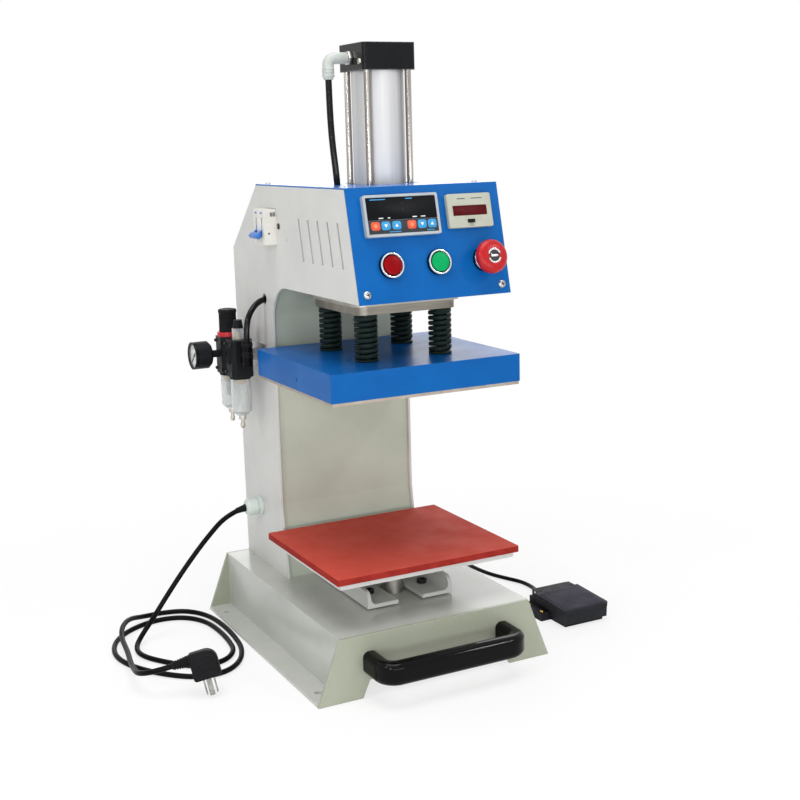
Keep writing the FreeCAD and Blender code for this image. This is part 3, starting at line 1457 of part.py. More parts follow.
MAINS_ROUTE = [
    (-124, 131, 162), (-150, 131, 157), (-182, 131, 128), (-215, 130, 92), (-243, 130, 57), (-265, 128, 29),
    (-288, 117, 9), (-302, 93, 3.6), (-301, 62, 3.6), (-279, 26, 3.6), (-251, -7, 3.6), (-214, -9, 3.6),
    (-190, 17, 3.6), (-184, 55, 3.6), (-183, 100, 3.6), (-188, 142, 3.6), (-208, 172, 3.6),
    (-239, 182, 3.6),
    (-272, 174, 3.6), (-303, 153, 3.6), (-325, 120, 3.6), (-333, 77, 3.6), (-321, 32, 3.6),
    (-293, -10, 3.6),
    (-260, -40, 3.6), (-224, -43, 3.6), (-196, -20, 3.6), (-178, 20, 3.6), (-172, 66, 3.6),
    (-171, 116, 3.6),
    (-177, 163, 3.6), (-198, 196, 3.6), (-230, 206, 3.6), (-261, 199, 6), (-287, 178, 15), (-305, 149, 15),
    (-313, 118, 11), (-316.5, 88, 11.5), (-321, 58, 13), (-327, 27, 14.5), (-332, -7.8, 18.5),
    (-335.6, -37, 25), (-330, -52.9, 29.8),
]


def mains_lead():
    radius = mm.mains_cord_diameter / 2
    flange = mm.gland_flange_diameter / 2
    body = mm.gland_body_diameter / 2
    nut = mm.gland_nut_diameter / 2
    mouth = mm.gland_mouth_diameter / 2
    spigot = mm.gland_spigot_diameter / 2
    first = mm.gland_flange_length
    second = first + mm.gland_body_length
    third = second + mm.gland_nut_length
    shoulder = third - mm.gland_nut_length / 3
    profile = [(radius, -mm.gland_spigot_length), (spigot, -mm.gland_spigot_length), (spigot, 0),
               (flange, 0),
               (flange, first), (body, first), (body, second), (nut, second), (nut, shoulder),
               (mouth, third),
               (radius, third)]
    node("cable_gland", turned("gland", profile, (-column_half, mm.gland_y, mm.gland_height), FACING["-X"]))
    left = -mm.plug_width / 2
    boot_tip = left - mm.plug_boot_length
    arrival = [on_plug(boot_tip - run, mm.plug_boot_back, 0) for run in (mm.plug_cord_approach, 0)]
    points = MAINS_ROUTE + [[item.value for item in point] for point in arrival]
    node("mains_cord", formed("mains", route_tube("mains_cord", points, mm.mains_cord_diameter.value)))

    outline = rectangle(mm.plug_width, mm.plug_depth)
    body = plate("plug_block", "XY_Plane", [outline], mm.plug_height, on_plug(0, 0, -mm.plug_height / 2),
                 PLUG_TURN, (), [(mm.plug_corner_round, [outline[0], outline[1], outline[3]]),
                                 (mm.plug_crown_round, [outline[2]])])
    boot = tapered_rod("plug_boot", mm.plug_boot_diameter, mm.plug_boot_tip_diameter,
                       mm.plug_boot_length + mm.plug_corner_round,
                       on_plug(left + mm.plug_corner_round, mm.plug_boot_back, 0),
                       PLUG_TURN.multiply(FACING["-X"]))
    node("mains_plug", fuse("plug", body, boot))
    front = -mm.plug_depth / 2
    pins = []
    for name, across, height, upright, extra in (("live_pin", -mm.pin_spacing / 2, 0, True, 0),
                                                 ("neutral_pin", mm.pin_spacing / 2, 0, True, 0),
                                                 ("earth_pin", 0, mm.pin_width, False, mm.earth_pin_extra)):
        wide = mm.pin_thickness if upright else mm.pin_width
        tall = mm.pin_width if upright else mm.pin_thickness
        length = mm.pin_length + extra
        pins.append(block(name, (wide, length, tall),
                          on_plug(across - wide / 2, front - length, height - tall / 2), PLUG_TURN))
    node("plug_pins", group("pin_set", pins))


def on_plug(across, along, height):
    """A place on the turned plug, from the middle of its body."""
    ways = [PLUG_TURN.multVec(way) for way in (Vector(1, 0, 0), Vector(0, 1, 0), Vector(0, 0, 1))]
    spans = [as_size(span) for span in (across, along, height)]
    place_at = []
    for axis, start in enumerate((mm.plug_x, mm.plug_y, mm.plug_middle_height)):
        for span, way in zip(spans, ways):
            start = start + span * round(way[axis], 6)
        place_at.append(start)
    return place_at


# Foot switch

pedal_back = mm.pedal_front_y + mm.pedal_length
pedal_pin_y = pedal_back - mm.treadle_back_gap
pedal_pin_height = mm.pedal_back_height + mm.treadle_gap + mm.treadle_thickness / 2

PEDAL_ROUTE = [
    (265, -32, 9), (270, -6, 6.5), (279, 18, 3.3), (279, 46, 3.3), (267, 73, 3.3), (256, 102, 3.3),
    (251, 136, 3.3),
    (250, 174, 3.3), (243, 212, 3.3), (229, 248, 3.3), (205, 280, 3.3), (172, 298, 3.3), (134, 302, 3.3),
]
TAIL_ROUTE = [
    (122, 305.2, 10.1), (98, 302, 11), (76, 288, 17), (63, 264, 27), (59, 238, 38), (62, 213, 44),
    (62, 193, 44),
]


def pedal():
    left = mm.pedal_x - mm.pedal_width / 2
    slope = math.tan(math.radians(TREADLE_TILT_ANGLE))
    front_height = mm.pedal_back_height - (mm.pedal_length - mm.treadle_back_gap) * slope
    wedge = [(mm.pedal_front_y, 0), (pedal_back, 0), (pedal_back, mm.pedal_back_height),
             (pedal_pin_y, mm.pedal_back_height), (mm.pedal_front_y, front_height)]
    tray = plate("pedal_tray", "YZ_Plane", [wedge], mm.pedal_width, (left, 0, 0))
    housing = block("pedal_housing", (mm.pedal_housing_width + mm.overrun, mm.pedal_housing_length,
                                      mm.pedal_housing_height),
                    (left - mm.pedal_housing_width, pedal_back - mm.pedal_housing_length, 0))
    ear_height = pedal_pin_height + mm.treadle_thickness / 2 - mm.pedal_back_height + mm.overrun * 2
    ears = []
    for side in (-1, 1):
        x = mm.pedal_x + side * (mm.pedal_width - mm.pedal_ear_thickness) / 2 - mm.pedal_ear_thickness / 2
        ears.append(block(f"pedal_ear{side}", (mm.pedal_ear_thickness, mm.treadle_back_gap, ear_height),
                          (x, pedal_pin_y - mm.treadle_back_gap / 2,
                           mm.pedal_back_height - mm.overrun * 2)))
    boss = rod("pedal_boss", mm.pedal_boss_diameter, mm.pedal_boss_length + mm.overrun,
               (mm.pedal_x, pedal_back - mm.overrun, mm.pedal_boss_height), FACING["Y"])
    bore = rod("pedal_pin_bore", mm.pedal_pin_diameter, mm.pedal_width + mm.overrun * 2,
               (left - mm.overrun, pedal_pin_y, pedal_pin_height), FACING["X"])
    node("pedal_base", cut("pedal_bored", fuse("pedal_solid", tray, housing, boss, *ears), bore))
    node("pedal_pin", rod("hinge_pin", mm.pedal_pin_diameter, mm.pedal_width,
                          (left, pedal_pin_y, pedal_pin_height),
                          FACING["X"]))
    treadle()
    pedal_lead()


def on_treadle(across, along, rise=0):
    """A place on the tilted treadle, from the middle of its underside below the pin."""
    tilt = math.radians(TREADLE_TILT_ANGLE)
    above_pin = rise - mm.treadle_thickness / 2
    return (mm.pedal_x + across, pedal_pin_y + along * math.cos(tilt) - above_pin * math.sin(tilt),
            pedal_pin_height + along * math.sin(tilt) + above_pin * math.cos(tilt))


def treadle():
    """The treadle is a cap: a deck, narrow between the ears, and a skirt round the front of the tray."""
    turn = Rotation(Vector(1, 0, 0), TREADLE_TILT_ANGLE)
    hinge_half = mm.pedal_width / 2 - mm.pedal_ear_thickness - mm.pedal_ear_gap
    skirt_half = mm.pedal_width / 2 + mm.skirt_overhang
    wide_half = skirt_half + mm.treadle_lip
    skirt_front = mm.pedal_front_y - mm.skirt_front_reach - pedal_pin_y
    front = skirt_front - mm.treadle_lip
    shoulder = -mm.treadle_back_gap / 2 - mm.pedal_ear_gap * 2
    rear = mm.treadle_back_gap / 2
    outline = [(-wide_half, front), (wide_half, front), (wide_half, shoulder), (hinge_half, shoulder),
               (hinge_half, rear), (-hinge_half, rear), (-hinge_half, shoulder), (-wide_half, shoulder)]
    deck = plate("tread_deck", "XY_Plane", [outline], mm.treadle_thickness, on_treadle(0, 0), turn, (),
                 [(mm.pedal_corner_round, [(-wide_half, front), (wide_half, front)])])
    wall = mm.skirt_thickness
    apron = block("tread_apron", (skirt_half * 2, wall, mm.skirt_drop + mm.overrun),
                  on_treadle(-skirt_half, skirt_front, -mm.skirt_drop), turn)
    step = mm.treadle_back_gap - mm.pedal_housing_length - wall
    flank = [(skirt_front, -mm.skirt_drop), (step, -mm.skirt_drop), (step, -mm.skirt_rear_drop),
             (shoulder, -mm.skirt_rear_drop), (shoulder, mm.overrun), (skirt_front, mm.overrun)]
    flanks = [plate(f"tread_flank{side}", "YZ_Plane", [flank], wall,
                    on_treadle(side * (skirt_half - wall / 2) - wall / 2, 0), turn) for side in (-1, 1)]
    bore = rod("tread_bore", mm.pedal_pin_diameter + mm.pedal_pin_clearance * 2, mm.pedal_width,
               (mm.pedal_x - mm.pedal_width / 2, pedal_pin_y, pedal_pin_height), FACING["X"])
    node("pedal_treadle", cut("tread", fuse("tread_solid", deck, apron, *flanks), bore))


def pedal_lead():
    cord = mm.pedal_cord_diameter.value
    out = route_tube("pedal_cord", PEDAL_ROUTE, cord)
    tail = route_tube("pedal_cord tail", TAIL_ROUTE, cord)
    node("pedal_cord", formed("pedal_runs", Part.makeCompound([out, tail])))
    node("pedal_coil", formed("coil", coil(cord)))


def coil(cord):
    """A tied coil in two layers: in along the floor, up a layer in the last half turn, and out again."""
    step = mm.coil_step.value
    turns = int(mm.coil_turns.value)
    middle = Vector(mm.coil_x.value, mm.coil_y.value, cord / 2 + mm.turning_clearance.value)
    outer = mm.coil_mean_radius.value + step * (turns - 1) / 2
    inward_quarters = turns * 4
    reverse = inward_quarters + 1
    stations = []
    for quarter in range(inward_quarters * 2 + 5):
        beyond = abs(quarter - reverse)
        radius = outer - step * (reverse - beyond) / 4
        drift = 0 if beyond == 0 else step / (math.pi * 2 * radius)
        if quarter < reverse:
            drift = -drift
        lift = step * min(max(quarter - inward_quarters, 0), 2) / 2
        climb = 0 if beyond else step / (math.pi * radius)
        angle = COIL_START_ANGLE + math.pi / 2 * quarter
        point = middle + Vector(radius * math.cos(angle), radius * math.sin(angle), lift)
        way = Vector(-math.sin(angle) + drift * math.cos(angle),
                     math.cos(angle) + drift * math.sin(angle), climb)
        way.normalize()
        stations.append((point, way))
    tube, edges = wound(stations, cord, cord)
    samples = [point for edge in edges for point in edge.discretize(8)[:-1]]
    print(f"pedal_coil: least gap between turns {least_gap(samples, cord):.2f} mm, "
          f"length {sum(edge.Length for edge in edges):.0f} mm, ends {stations[0][0]} {stations[-1][0]}")
    return tube


COIL_START_ANGLE = math.pi / 2


def build():
    base()
    carrying_handle()
    column()
    front_panel()
    instruments()
    buttons()
    breaker()
    cylinder()
    air_line()
    press_head()
    table()
    screws()
    air_unit()
    mains_lead()
    pedal()


def check_and_write():
    doc.recompute()
    for piece in doc.Objects:
        if "Invalid" in piece.State or "Error" in piece.State:
            raise RuntimeError(f"{piece.Label} did not build: {piece.State}")
    os.makedirs("parts", exist_ok=True)
    for piece in nodes:
        shape = piece.Shape
        if shape.isNull() or not shape.isValid() or not shape.Solids:
            raise RuntimeError(f"{piece.Label} has no valid solid")
    for piece in nodes:
        piece.Shape.exportStep(os.path.join("parts", piece.Label + ".step"))
    print(f"{len(nodes)} parts written")


build()
check_and_write()
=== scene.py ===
"""Dresses the pneumatic heat press: its cords, finishes and fine pieces, its camera and its studio."""
import math

import bmesh
import bpy
from mathutils import Matrix, Vector


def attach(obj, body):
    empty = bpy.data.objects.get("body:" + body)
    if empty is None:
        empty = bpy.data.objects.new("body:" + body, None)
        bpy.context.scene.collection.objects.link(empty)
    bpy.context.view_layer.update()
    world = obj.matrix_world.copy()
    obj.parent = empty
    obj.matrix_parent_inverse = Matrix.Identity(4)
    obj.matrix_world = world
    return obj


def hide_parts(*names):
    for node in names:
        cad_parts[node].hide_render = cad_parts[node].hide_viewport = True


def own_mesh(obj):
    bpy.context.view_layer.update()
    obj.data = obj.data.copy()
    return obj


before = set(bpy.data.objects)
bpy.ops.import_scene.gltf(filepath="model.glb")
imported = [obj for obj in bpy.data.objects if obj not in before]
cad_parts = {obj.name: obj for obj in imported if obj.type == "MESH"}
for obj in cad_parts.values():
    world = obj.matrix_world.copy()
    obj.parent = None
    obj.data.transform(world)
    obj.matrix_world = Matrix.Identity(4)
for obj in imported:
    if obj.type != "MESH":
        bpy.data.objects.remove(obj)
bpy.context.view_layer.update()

MM = 0.001
FULL_TURN = 2 * math.pi
SMOOTH_ANGLE = math.radians(38)
# Corners nearer than this, in millimetres, are one corner
MERGE_DISTANCE = 1e-4


def place_in_scene(name, data):
    """A new object at the origin, linked to the scene."""
    made = bpy.data.objects.new(name, data)
    bpy.context.collection.objects.link(made)
    return made


# Camera

CAMERA_PLACE = (-0.7184, -1.5106, 0.6608)
CAMERA_AZIMUTH = math.radians(-27.15)
CAMERA_ELEVATION = math.radians(11.47)
CAMERA_ROLL = math.radians(-1.52)
CAMERA_LENS = 57.88
CAMERA_SENSOR = 36.0


def set_camera():
    back = Vector((math.sin(CAMERA_AZIMUTH) * math.cos(CAMERA_ELEVATION),
                   -math.cos(CAMERA_AZIMUTH) * math.cos(CAMERA_ELEVATION), math.sin(CAMERA_ELEVATION)))
    level = Vector((math.cos(CAMERA_AZIMUTH), math.sin(CAMERA_AZIMUTH), 0))
    upright = back.cross(level)
    right = level * math.cos(CAMERA_ROLL) + upright * math.sin(CAMERA_ROLL)
    up = upright * math.cos(CAMERA_ROLL) - level * math.sin(CAMERA_ROLL)
    data = bpy.data.cameras.new("photo_camera")
    data.lens = CAMERA_LENS
    data.sensor_width = CAMERA_SENSOR
    camera = place_in_scene("photo_camera", data)
    turn = Matrix((right, up, back)).transposed().to_4x4()
    camera.matrix_world = Matrix.Translation(CAMERA_PLACE) @ turn
    bpy.context.scene.camera = camera


# Nodes and finishes

def srgb(code):
    """The linear colour of an sRGB hex code."""
    shares = [int(code[place:place + 2], 16) / 255 for place in (0, 2, 4)]
    return [share / 12.92 if share <= 0.04045 else ((share + 0.055) / 1.055) ** 2.4 for share in shares] + [1]


def cleared(owner):
    """The emptied node tree of a material or a world."""
    owner.use_nodes = True
    owner.node_tree.nodes.clear()
    return owner.node_tree


def add(tree, kind, inputs=None, **settings):
    """Adds a node with its settings; an input is a value, or another node's socket to link."""
    made = tree.nodes.new("ShaderNode" + kind)
    for name, value in settings.items():
        setattr(made, name, value)
    for name, value in (inputs or {}).items():
        if isinstance(value, bpy.types.NodeSocket):
            tree.links.new(value, made.inputs[name])
        else:
            made.inputs[name].default_value = value
    return made


# The stretch of a noise over which a patch fades in, the one over which its gloss changes, and how far a
# softened normal leans from flat where an edge's painted highlight and wear start and where they are full
PATCH_SPAN = (0.34, 0.66)
GLOSS_SPAN = (0.3, 0.7)
EDGE_LIGHT_AND_WEAR_SPAN = (0.98, 0.76)


def surface(name, colour, patch_colour, patch_mm, rough, grain_mm, grain_depth_mm, edge_highlight_and_wear_colour=None,
            edge_mm=0.9, patch_share=1.0, stretch=(1, 1, 1), shader=None):
    """A finish with slow patches of a second colour, a grain in its relief and gloss, and softened edges,
    which an edge colour lightens as painted highlight and wear.
    """
    material = bpy.data.materials.new(name)
    tree = cleared(material)
    place = add(tree, "TexCoord").outputs["Object"]
    if stretch != (1, 1, 1):
        place = add(tree, "Mapping", {"Vector": place, "Scale": stretch}).outputs["Vector"]
    patches = add(tree, "TexNoise", {"Vector": place, "Scale": 1 / (patch_mm * MM), "Detail": 5.0,
                                     "Roughness": 0.62})
    spread = add(tree, "MapRange", {"Value": patches.outputs[0], "From Min": PATCH_SPAN[0],
                                    "From Max": PATCH_SPAN[1], "To Max": patch_share})
    tone = add(tree, "Mix", {0: spread.outputs[0], 6: srgb(colour), 7: srgb(patch_colour)},
               data_type="RGBA").outputs[2]
    grain = add(tree, "TexNoise", {"Vector": place, "Scale": 1 / (grain_mm * MM), "Detail": 3.0})
    gloss = add(tree, "MapRange", {"Value": patches.outputs[0], "From Min": GLOSS_SPAN[0],
                                   "From Max": GLOSS_SPAN[1], "To Min": rough[0], "To Max": rough[1]})
    soft = add(tree, "Bevel", {"Radius": edge_mm * MM}, samples=4)
    # The edge colour is a painted highlight along the softened edges, broken up by the grain like wear
    if edge_highlight_and_wear_colour:
        flat = add(tree, "NewGeometry").outputs["Normal"]
        bent = add(tree, "VectorMath", {0: soft.outputs[0], 1: flat}, operation="DOT_PRODUCT")
        edge = add(tree, "MapRange", {"Value": bent.outputs["Value"], "From Min": EDGE_LIGHT_AND_WEAR_SPAN[0],
                                      "From Max": EDGE_LIGHT_AND_WEAR_SPAN[1]})
        edge_highlight_and_wear = add(tree, "Math", {0: edge.outputs[0], 1: grain.outputs[0]}, operation="MULTIPLY")
        tone = add(tree, "Mix", {0: edge_highlight_and_wear.outputs[0], 6: tone, 7: srgb(edge_highlight_and_wear_colour)},
                   data_type="RGBA").outputs[2]
    relief = add(tree, "Bump", {"Height": grain.outputs[0], "Distance": grain_depth_mm * MM,
                                "Normal": soft.outputs[0]})
    body = add(tree, "BsdfPrincipled", {"Base Color": tone, "Roughness": gloss.outputs[0],
                                        "Normal": relief.outputs[0]})
    for socket, value in (shader or {}).items():
        body.inputs[socket].default_value = value
    output = add(tree, "OutputMaterial", {"Surface": body.outputs[0]})
    output.is_active_output = True
    return material


METAL = {"Metallic": 1.0}
ENAMEL = {"Specular IOR Level": 0.3}
DULL = {"Specular IOR Level": 0.08}

# Baked enamel on sheet steel: satin, faint orange peel 2.5 mm wide, paler on its edges, a painted highlight
# with wear where the coat is thin
side_enamel = surface("grey_enamel", "D6D6D3", "CECECB", 90, (0.34, 0.46), 2.5, 0.025, "E8E8E5", 1.0,
                      shader=ENAMEL)
# The throat plate's enamel: a darker, olive copy of the grey enamel, painted shade in the throat
shaded_throat_enamel = surface("throat_enamel_painted_shade", "C1C8BA", "B9C0B1", 80, (0.4, 0.54), 2.5, 0.025, "D8DBCF", 1.0,
                       shader={"Specular IOR Level": 0.15})
# The end plates' enamel: a darker, olive copy of the base's enamel, painted shade on the base's ends
shaded_end_enamel = surface("end_plate_enamel_painted_shade", "ABAF9E", "A3A795", 80, (0.2, 0.3), 2.5, 0.015, "CFD2C5", 1.0,
                      shader=ENAMEL)
deck_enamel = surface("base_grey_enamel", "C3C5BF", "BABDB5", 80, (0.16, 0.26), 2.5, 0.012, "DADCD5", 1.0)
# Blue enamel: half gloss with a finer peel, so that the flat faces mirror the room softly
blue_enamel = surface("blue_enamel", "0C62AF", "0A5AA3", 70, (0.28, 0.38), 2.0, 0.012, "4E8FD4", 0.9,
                      shader={"Specular IOR Level": 0.1})
top_enamel = surface("blue_top_enamel", "0C65B6", "0A5DAA", 70, (0.2, 0.3), 2.0, 0.012, "4E8FD4", 0.9)
# Machined and zinc plated steel: pale, with fine tool lines along the plate
machined_steel = surface("machined_steel", "B4B2AB", "9F9C94", 30, (0.34, 0.46), 0.6, 0.01, "D8D6D0", 0.8,
                         stretch=(0.15, 1, 1), shader=METAL)
# The pressure plate's steel: a darker, browner copy of the machined steel, painted shade on the lower plate
shaded_plate_steel = surface("shaded_plate_steel", "938F86", "77736A", 24, (0.3, 0.42), 0.6, 0.01, "C9C5BC", 0.8,
                       stretch=(0.15, 1, 1), shader=METAL)
zinc_steel = surface("zinc_plated_steel", "C4C5C4", "AEB0B2", 14, (0.26, 0.42), 1.0, 0.01, "E6E6E6", 0.6,
                     shader=METAL)
chrome = surface("chromed_steel", "D2D1D0", "C0BEBC", 20, (0.08, 0.15), 0.8, 0.003, None, 0.4, shader=METAL)
# Polished rod: streaks along it, from bright steel to dark brown, are painted dark reflections
rod_painted_dark_streaks = surface("rod_painted_dark_streaks", "DAD7D3", "55463C", 7, (0.12, 0.22), 0.9, 0.001, None, 0.4,
                    stretch=(1, 1, 0.01), shader=METAL)
# Drawn aluminium tube: fine lines along the draw, so soft bands of light run up it
drawn_aluminium = surface("drawn_aluminium", "D0D0CE", "C6C6C8", 9, (0.54, 0.64), 0.9, 0.004, None, 0.5,
                          stretch=(1, 1, 0.02), shader=METAL)
# Cast heater plate: warm grey aluminium, faintly browned by heat
cast_aluminium = surface("heater_aluminium", "B9AFA3", "A79B8E", 18, (0.4, 0.55), 1.2, 0.03, "D8D0C6", 0.8,
                         shader=METAL)
# Black anodised aluminium: even black, with a thin bright line along its edges that is a painted highlight
black_anodised = surface("black_anodised", "17191C", "1D1F22", 25, (0.36, 0.5), 0.8, 0.012, "6A6D74", 1.2,
                         shader=DULL)
# The cylinder caps: deeper black, their bright edge line a painted highlight
cap_anodised = surface("cap_black_anodised", "0C0D0F", "121316", 25, (0.16, 0.24), 0.8, 0.006, "C8CCD2", 1.5,
                       shader={"Specular IOR Level": 0.18})
# Black oxide steel: nearly black, faintly brown, half shiny
black_oxide = surface("black_oxide_steel", "1C1D1C", "282724", 8, (0.34, 0.5), 0.7, 0.015, "5A5A56", 0.5,
                      shader={"Metallic": 0.6})
# Painted spring steel: green-black, half matt, with the wire's draw marks under the paint
spring_enamel = surface("spring_enamel", "13201D", "202E2A", 7, (0.3, 0.46), 0.9, 0.03, None, 0.4,
                        shader=DULL)
# Moulded plastics: ABS and nylon with a spark-eroded grain about 0.8 mm across, drawn so that it shows
black_gloss = surface("black_gloss_abs", "08080A", "0E0E10", 40, (0.1, 0.16), 1.6, 0.006, None, 1.5,
                      shader=DULL)
handle_gloss = surface("handle_black_gloss", "020203", "050506", 40, (0.04, 0.06), 1.6, 0.002, None, 1.5,
                       shader={"Specular IOR Level": 0.14})
black_nylon = surface("black_nylon", "131315", "1B1B1D", 16, (0.42, 0.56), 0.8, 0.03, "39393C", 0.7,
                      shader=DULL)
pedal_abs = surface("pedal_abs", "2B2C30", "252629", 16, (0.42, 0.56), 0.8, 0.03, "4A4B50", 0.8, shader=DULL)
# Painted shade sheet behind the vents, and rubber mat: matt, so that a vent reads as a dark slot and the mat
# as soft grey
vent_shade_black = surface("vent_shade_black", "121213", "1A1A1B", 12, (0.7, 0.85), 0.7, 0.02, None, 0.4, shader=DULL)
charcoal_mat = surface("charcoal_rubber_mat", "42414C", "3A3943", 22, (0.55, 0.7), 0.9, 0.05, "44444C", 0.6,
                       shader=DULL)
# Extruded hose and cord jackets: smooth black, the hose with a wet gloss and the cord half matt
hose_plastic = surface("black_hose", "08080A", "0E0E10", 30, (0.1, 0.18), 2.2, 0.008, None, 0.4,
                       shader={"Specular IOR Level": 0.2})
cord_rubber = surface("cord_rubber", "09090A", "101012", 25, (0.26, 0.36), 1.2, 0.03, None, 0.4,
                      shader={"Specular IOR Level": 0.06})
# Pale mouldings: nylon that lets a little light in, and harder thermoset and ABS in satin
white_nylon = surface("white_nylon", "C6CBC6", "B6BCB7", 14, (0.34, 0.48), 0.9, 0.02, "F2F2EF", 0.6,
                      shader={"Subsurface Weight": 0.05, "Subsurface Scale": 0.002})
gland_nylon = surface("gland_nylon", "D6DFDA", "CAD4CF", 14, (0.34, 0.48), 0.9, 0.02, "E8EEEB", 0.6)
breaker_white = surface("breaker_thermoset", "E8E6DF", "DEDCD4", 16, (0.36, 0.48), 0.8, 0.02, "F3F2EE", 0.7)
breaker_blue = surface("lever_blue", "2870C2", "2260AE", 9, (0.26, 0.38), 0.7, 0.015, "86B8EE", 0.6)
silver_bezel = surface("silver_bezel_abs", "AEB6BC", "A3ABB2", 20, (0.3, 0.42), 0.8, 0.012, "E9ECEC", 0.9)
counter_beige = surface("counter_beige_abs", "B7BAAC", "AEB1A2", 18, (0.4, 0.52), 0.8, 0.02, "E9E7D8", 0.8,
                        shader=ENAMEL)
# Acrylic windows, film keys and ink: flat, even colours almost without grain
glass_black = surface("window_black_acrylic", "0C0D0F", "101114", 30, (0.3, 0.38), 3.0, 0.003, None, 0.4,
                      shader=DULL)
key_strip = surface("key_strip_film", "3D4146", "373A3F", 12, (0.36, 0.46), 0.7, 0.012, None, 0.4,
                    shader=DULL)
key_orange = surface("key_orange_film", "E4572F", "D24A27", 4, (0.3, 0.42), 0.6, 0.012, "F08A62", 0.5)
key_peach = surface("key_peach_print", "F08A62", "E67C54", 4, (0.4, 0.5), 0.6, 0.004, None, 0.2)
key_cyan = surface("key_cyan_film", "2B9BD6", "228AC4", 4, (0.3, 0.42), 0.6, 0.012, "74C2EA", 0.5)
print_white = surface("white_print", "EEF2F3", "E2E7E9", 3, (0.4, 0.5), 0.6, 0.004, None, 0.2)
print_black = surface("black_print", "17171A", "1F1F22", 3, (0.4, 0.5), 0.6, 0.004, None, 0.2)
window_red = surface("counter_red_acrylic", "590D14", "470A10", 14, (0.3, 0.38), 3.0, 0.003, None, 0.4,
                     shader=DULL)
# Coloured lenses and mouldings: deep, saturated plastic with a soft shine
lens_red = surface("red_lens", "940610", "86050E", 9, (0.2, 0.3), 1.0, 0.012, "C01820", 0.6, shader=DULL)
lens_green = surface("green_lens", "0BA861", "099A57", 9, (0.2, 0.3), 1.0, 0.012, "3CCB86", 0.6, shader=DULL)
stop_red = surface("stop_red_abs", "BC161D", "AE1219", 16, (0.24, 0.34), 0.9, 0.015, "E24448", 0.8,
                   shader=ENAMEL)
ring_red = surface("lock_ring_red", "D2202E", "BE1A27", 10, (0.3, 0.42), 0.8, 0.015, "E8505A", 0.6)
# Bright rings, brass and plate: turned metal that mirrors the room in thin lines
bright_ring = surface("bright_ring", "E4E6E8", "D2D5D8", 10, (0.14, 0.24), 0.8, 0.006, None, 0.5,
                      shader=METAL)
brass = surface("brass", "C9A656", "B08E43", 8, (0.24, 0.38), 0.8, 0.012, "E2C88A", 0.4, shader=METAL)
nickel = surface("nickel_brass", "CFCCC4", "BDB9AF", 8, (0.2, 0.32), 0.8, 0.01, "E8E6E0", 0.4, shader=METAL)
pin_metal = surface("plug_pin_metal", "84837F", "6C6B67", 8, (0.34, 0.46), 0.8, 0.01, "6E6A60", 0.6,
                    shader=METAL)
# Dial card and sintered filter: white and matt, the filter with open grains
dial_white = surface("dial_card", "EDEDE9", "E2E2DD", 12, (0.5, 0.6), 0.7, 0.006, None, 0.2)
filter_white = surface("sintered_filter", "DADBD3", "C8C9BF", 5, (0.7, 0.85), 0.6, 0.08, None, 0.4)
# Clear polycarbonate: faintly milky, with slow ripples from the mould
clear_polycarbonate = surface("clear_polycarbonate", "F6F8F8", "EDF1F1", 20, (0.06, 0.12), 7.0, 0.03, None,
                              0.5, shader={"Transmission Weight": 0.75, "IOR": 1.4})
lens_glass = surface("gauge_lens", "F8FBFB", "F1F6F6", 20, (0.01, 0.03), 9.0, 0.01, None, 0.3,
                     shader={"Transmission Weight": 1.0, "IOR": 1.1})
# Silicone sponge sheet: brick red, matt, with open pores about 1.2 mm apart and a chalky bloom in patches
pad_silicone = surface("silicone_sponge", "C85043", "BC473A", 34, (0.62, 0.78), 1.2, 0.1, "D6624E", 1.0, 0.6,
                       shader=DULL)
# The sponge's cut sides: their own pores, and a darker red that is painted shade on the upright faces
pad_edge_shaded = surface("silicone_cut_edge_painted_shade", "9E2F28", "8C2821", 12, (0.6, 0.75), 1.0, 0.12, None, 0.5,
                   shader=DULL)

NODE_FINISHES = {
    side_enamel: ("left_side_plate", "right_side_plate", "table_rails", "table_plate"),
    shaded_throat_enamel: ("throat_plate",),
    shaded_end_enamel: ("base_end_plates",),
    deck_enamel: ("base_channel",),
    blue_enamel: ("front_panel", "rear_cover", "platen_cover"),
    top_enamel: ("top_cover",),
    machined_steel: ("cylinder_mount_plate", "table_post"),
    shaded_plate_steel: ("pressure_plate",),
    zinc_steel: ("panel_screws", "air_bracket"),
    chrome: ("piston_rod", "pedal_pin"),
    pin_metal: ("plug_pins",),
    rod_painted_dark_streaks: ("tie_rods",),
    drawn_aluminium: ("cylinder_tube", "piston"),
    cast_aluminium: ("heating_plate",),
    cap_anodised: ("cylinder_top_cap", "cylinder_bottom_cap"),
    black_anodised: ("regulator_body", "lubricator_body", "gauge_case", "gauge_needle"),
    black_oxide: ("socket_screws", "guide_bolts"),
    black_gloss: ("outlet_elbow",),
    handle_gloss: ("carry_handle",),
    black_nylon: ("stop_button_stem", "solenoid_valve", "counter_reset_key", "mains_plug", "regulator_knob"),
    pedal_abs: ("pedal_base", "pedal_treadle"),
    white_nylon: ("cap_elbow", "cable_gland"),
    breaker_white: ("breaker_body",),
    breaker_blue: ("breaker_toggle",),
    silver_bezel: ("controller", "button_bezels"),
    counter_beige: ("counter",),
    lens_red: ("red_button_cap",),
    lens_green: ("green_button_cap",),
    stop_red: ("stop_button_head",),
    ring_red: ("regulator_ring",),
    clear_polycarbonate: ("clear_bowls",),
    nickel: ("drain_cocks",),
    pad_silicone: ("silicone_pad",),
    spring_enamel: ("press_springs",),
    cord_rubber: ("mains_cord", "pedal_cord", "pedal_coil"),
    hose_plastic: ("cylinder_hose", "supply_hose"),
}


def dress_nodes():
    for material, names in NODE_FINISHES.items():
        for name in names:
            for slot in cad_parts[name].material_slots:
                slot.material = material


# Shapes, in millimetres

def mesh_from(shape, name):
    """A mesh made from a shape, which is then freed."""
    mesh = bpy.data.meshes.new(name)
    shape.to_mesh(mesh)
    shape.free()
    return mesh


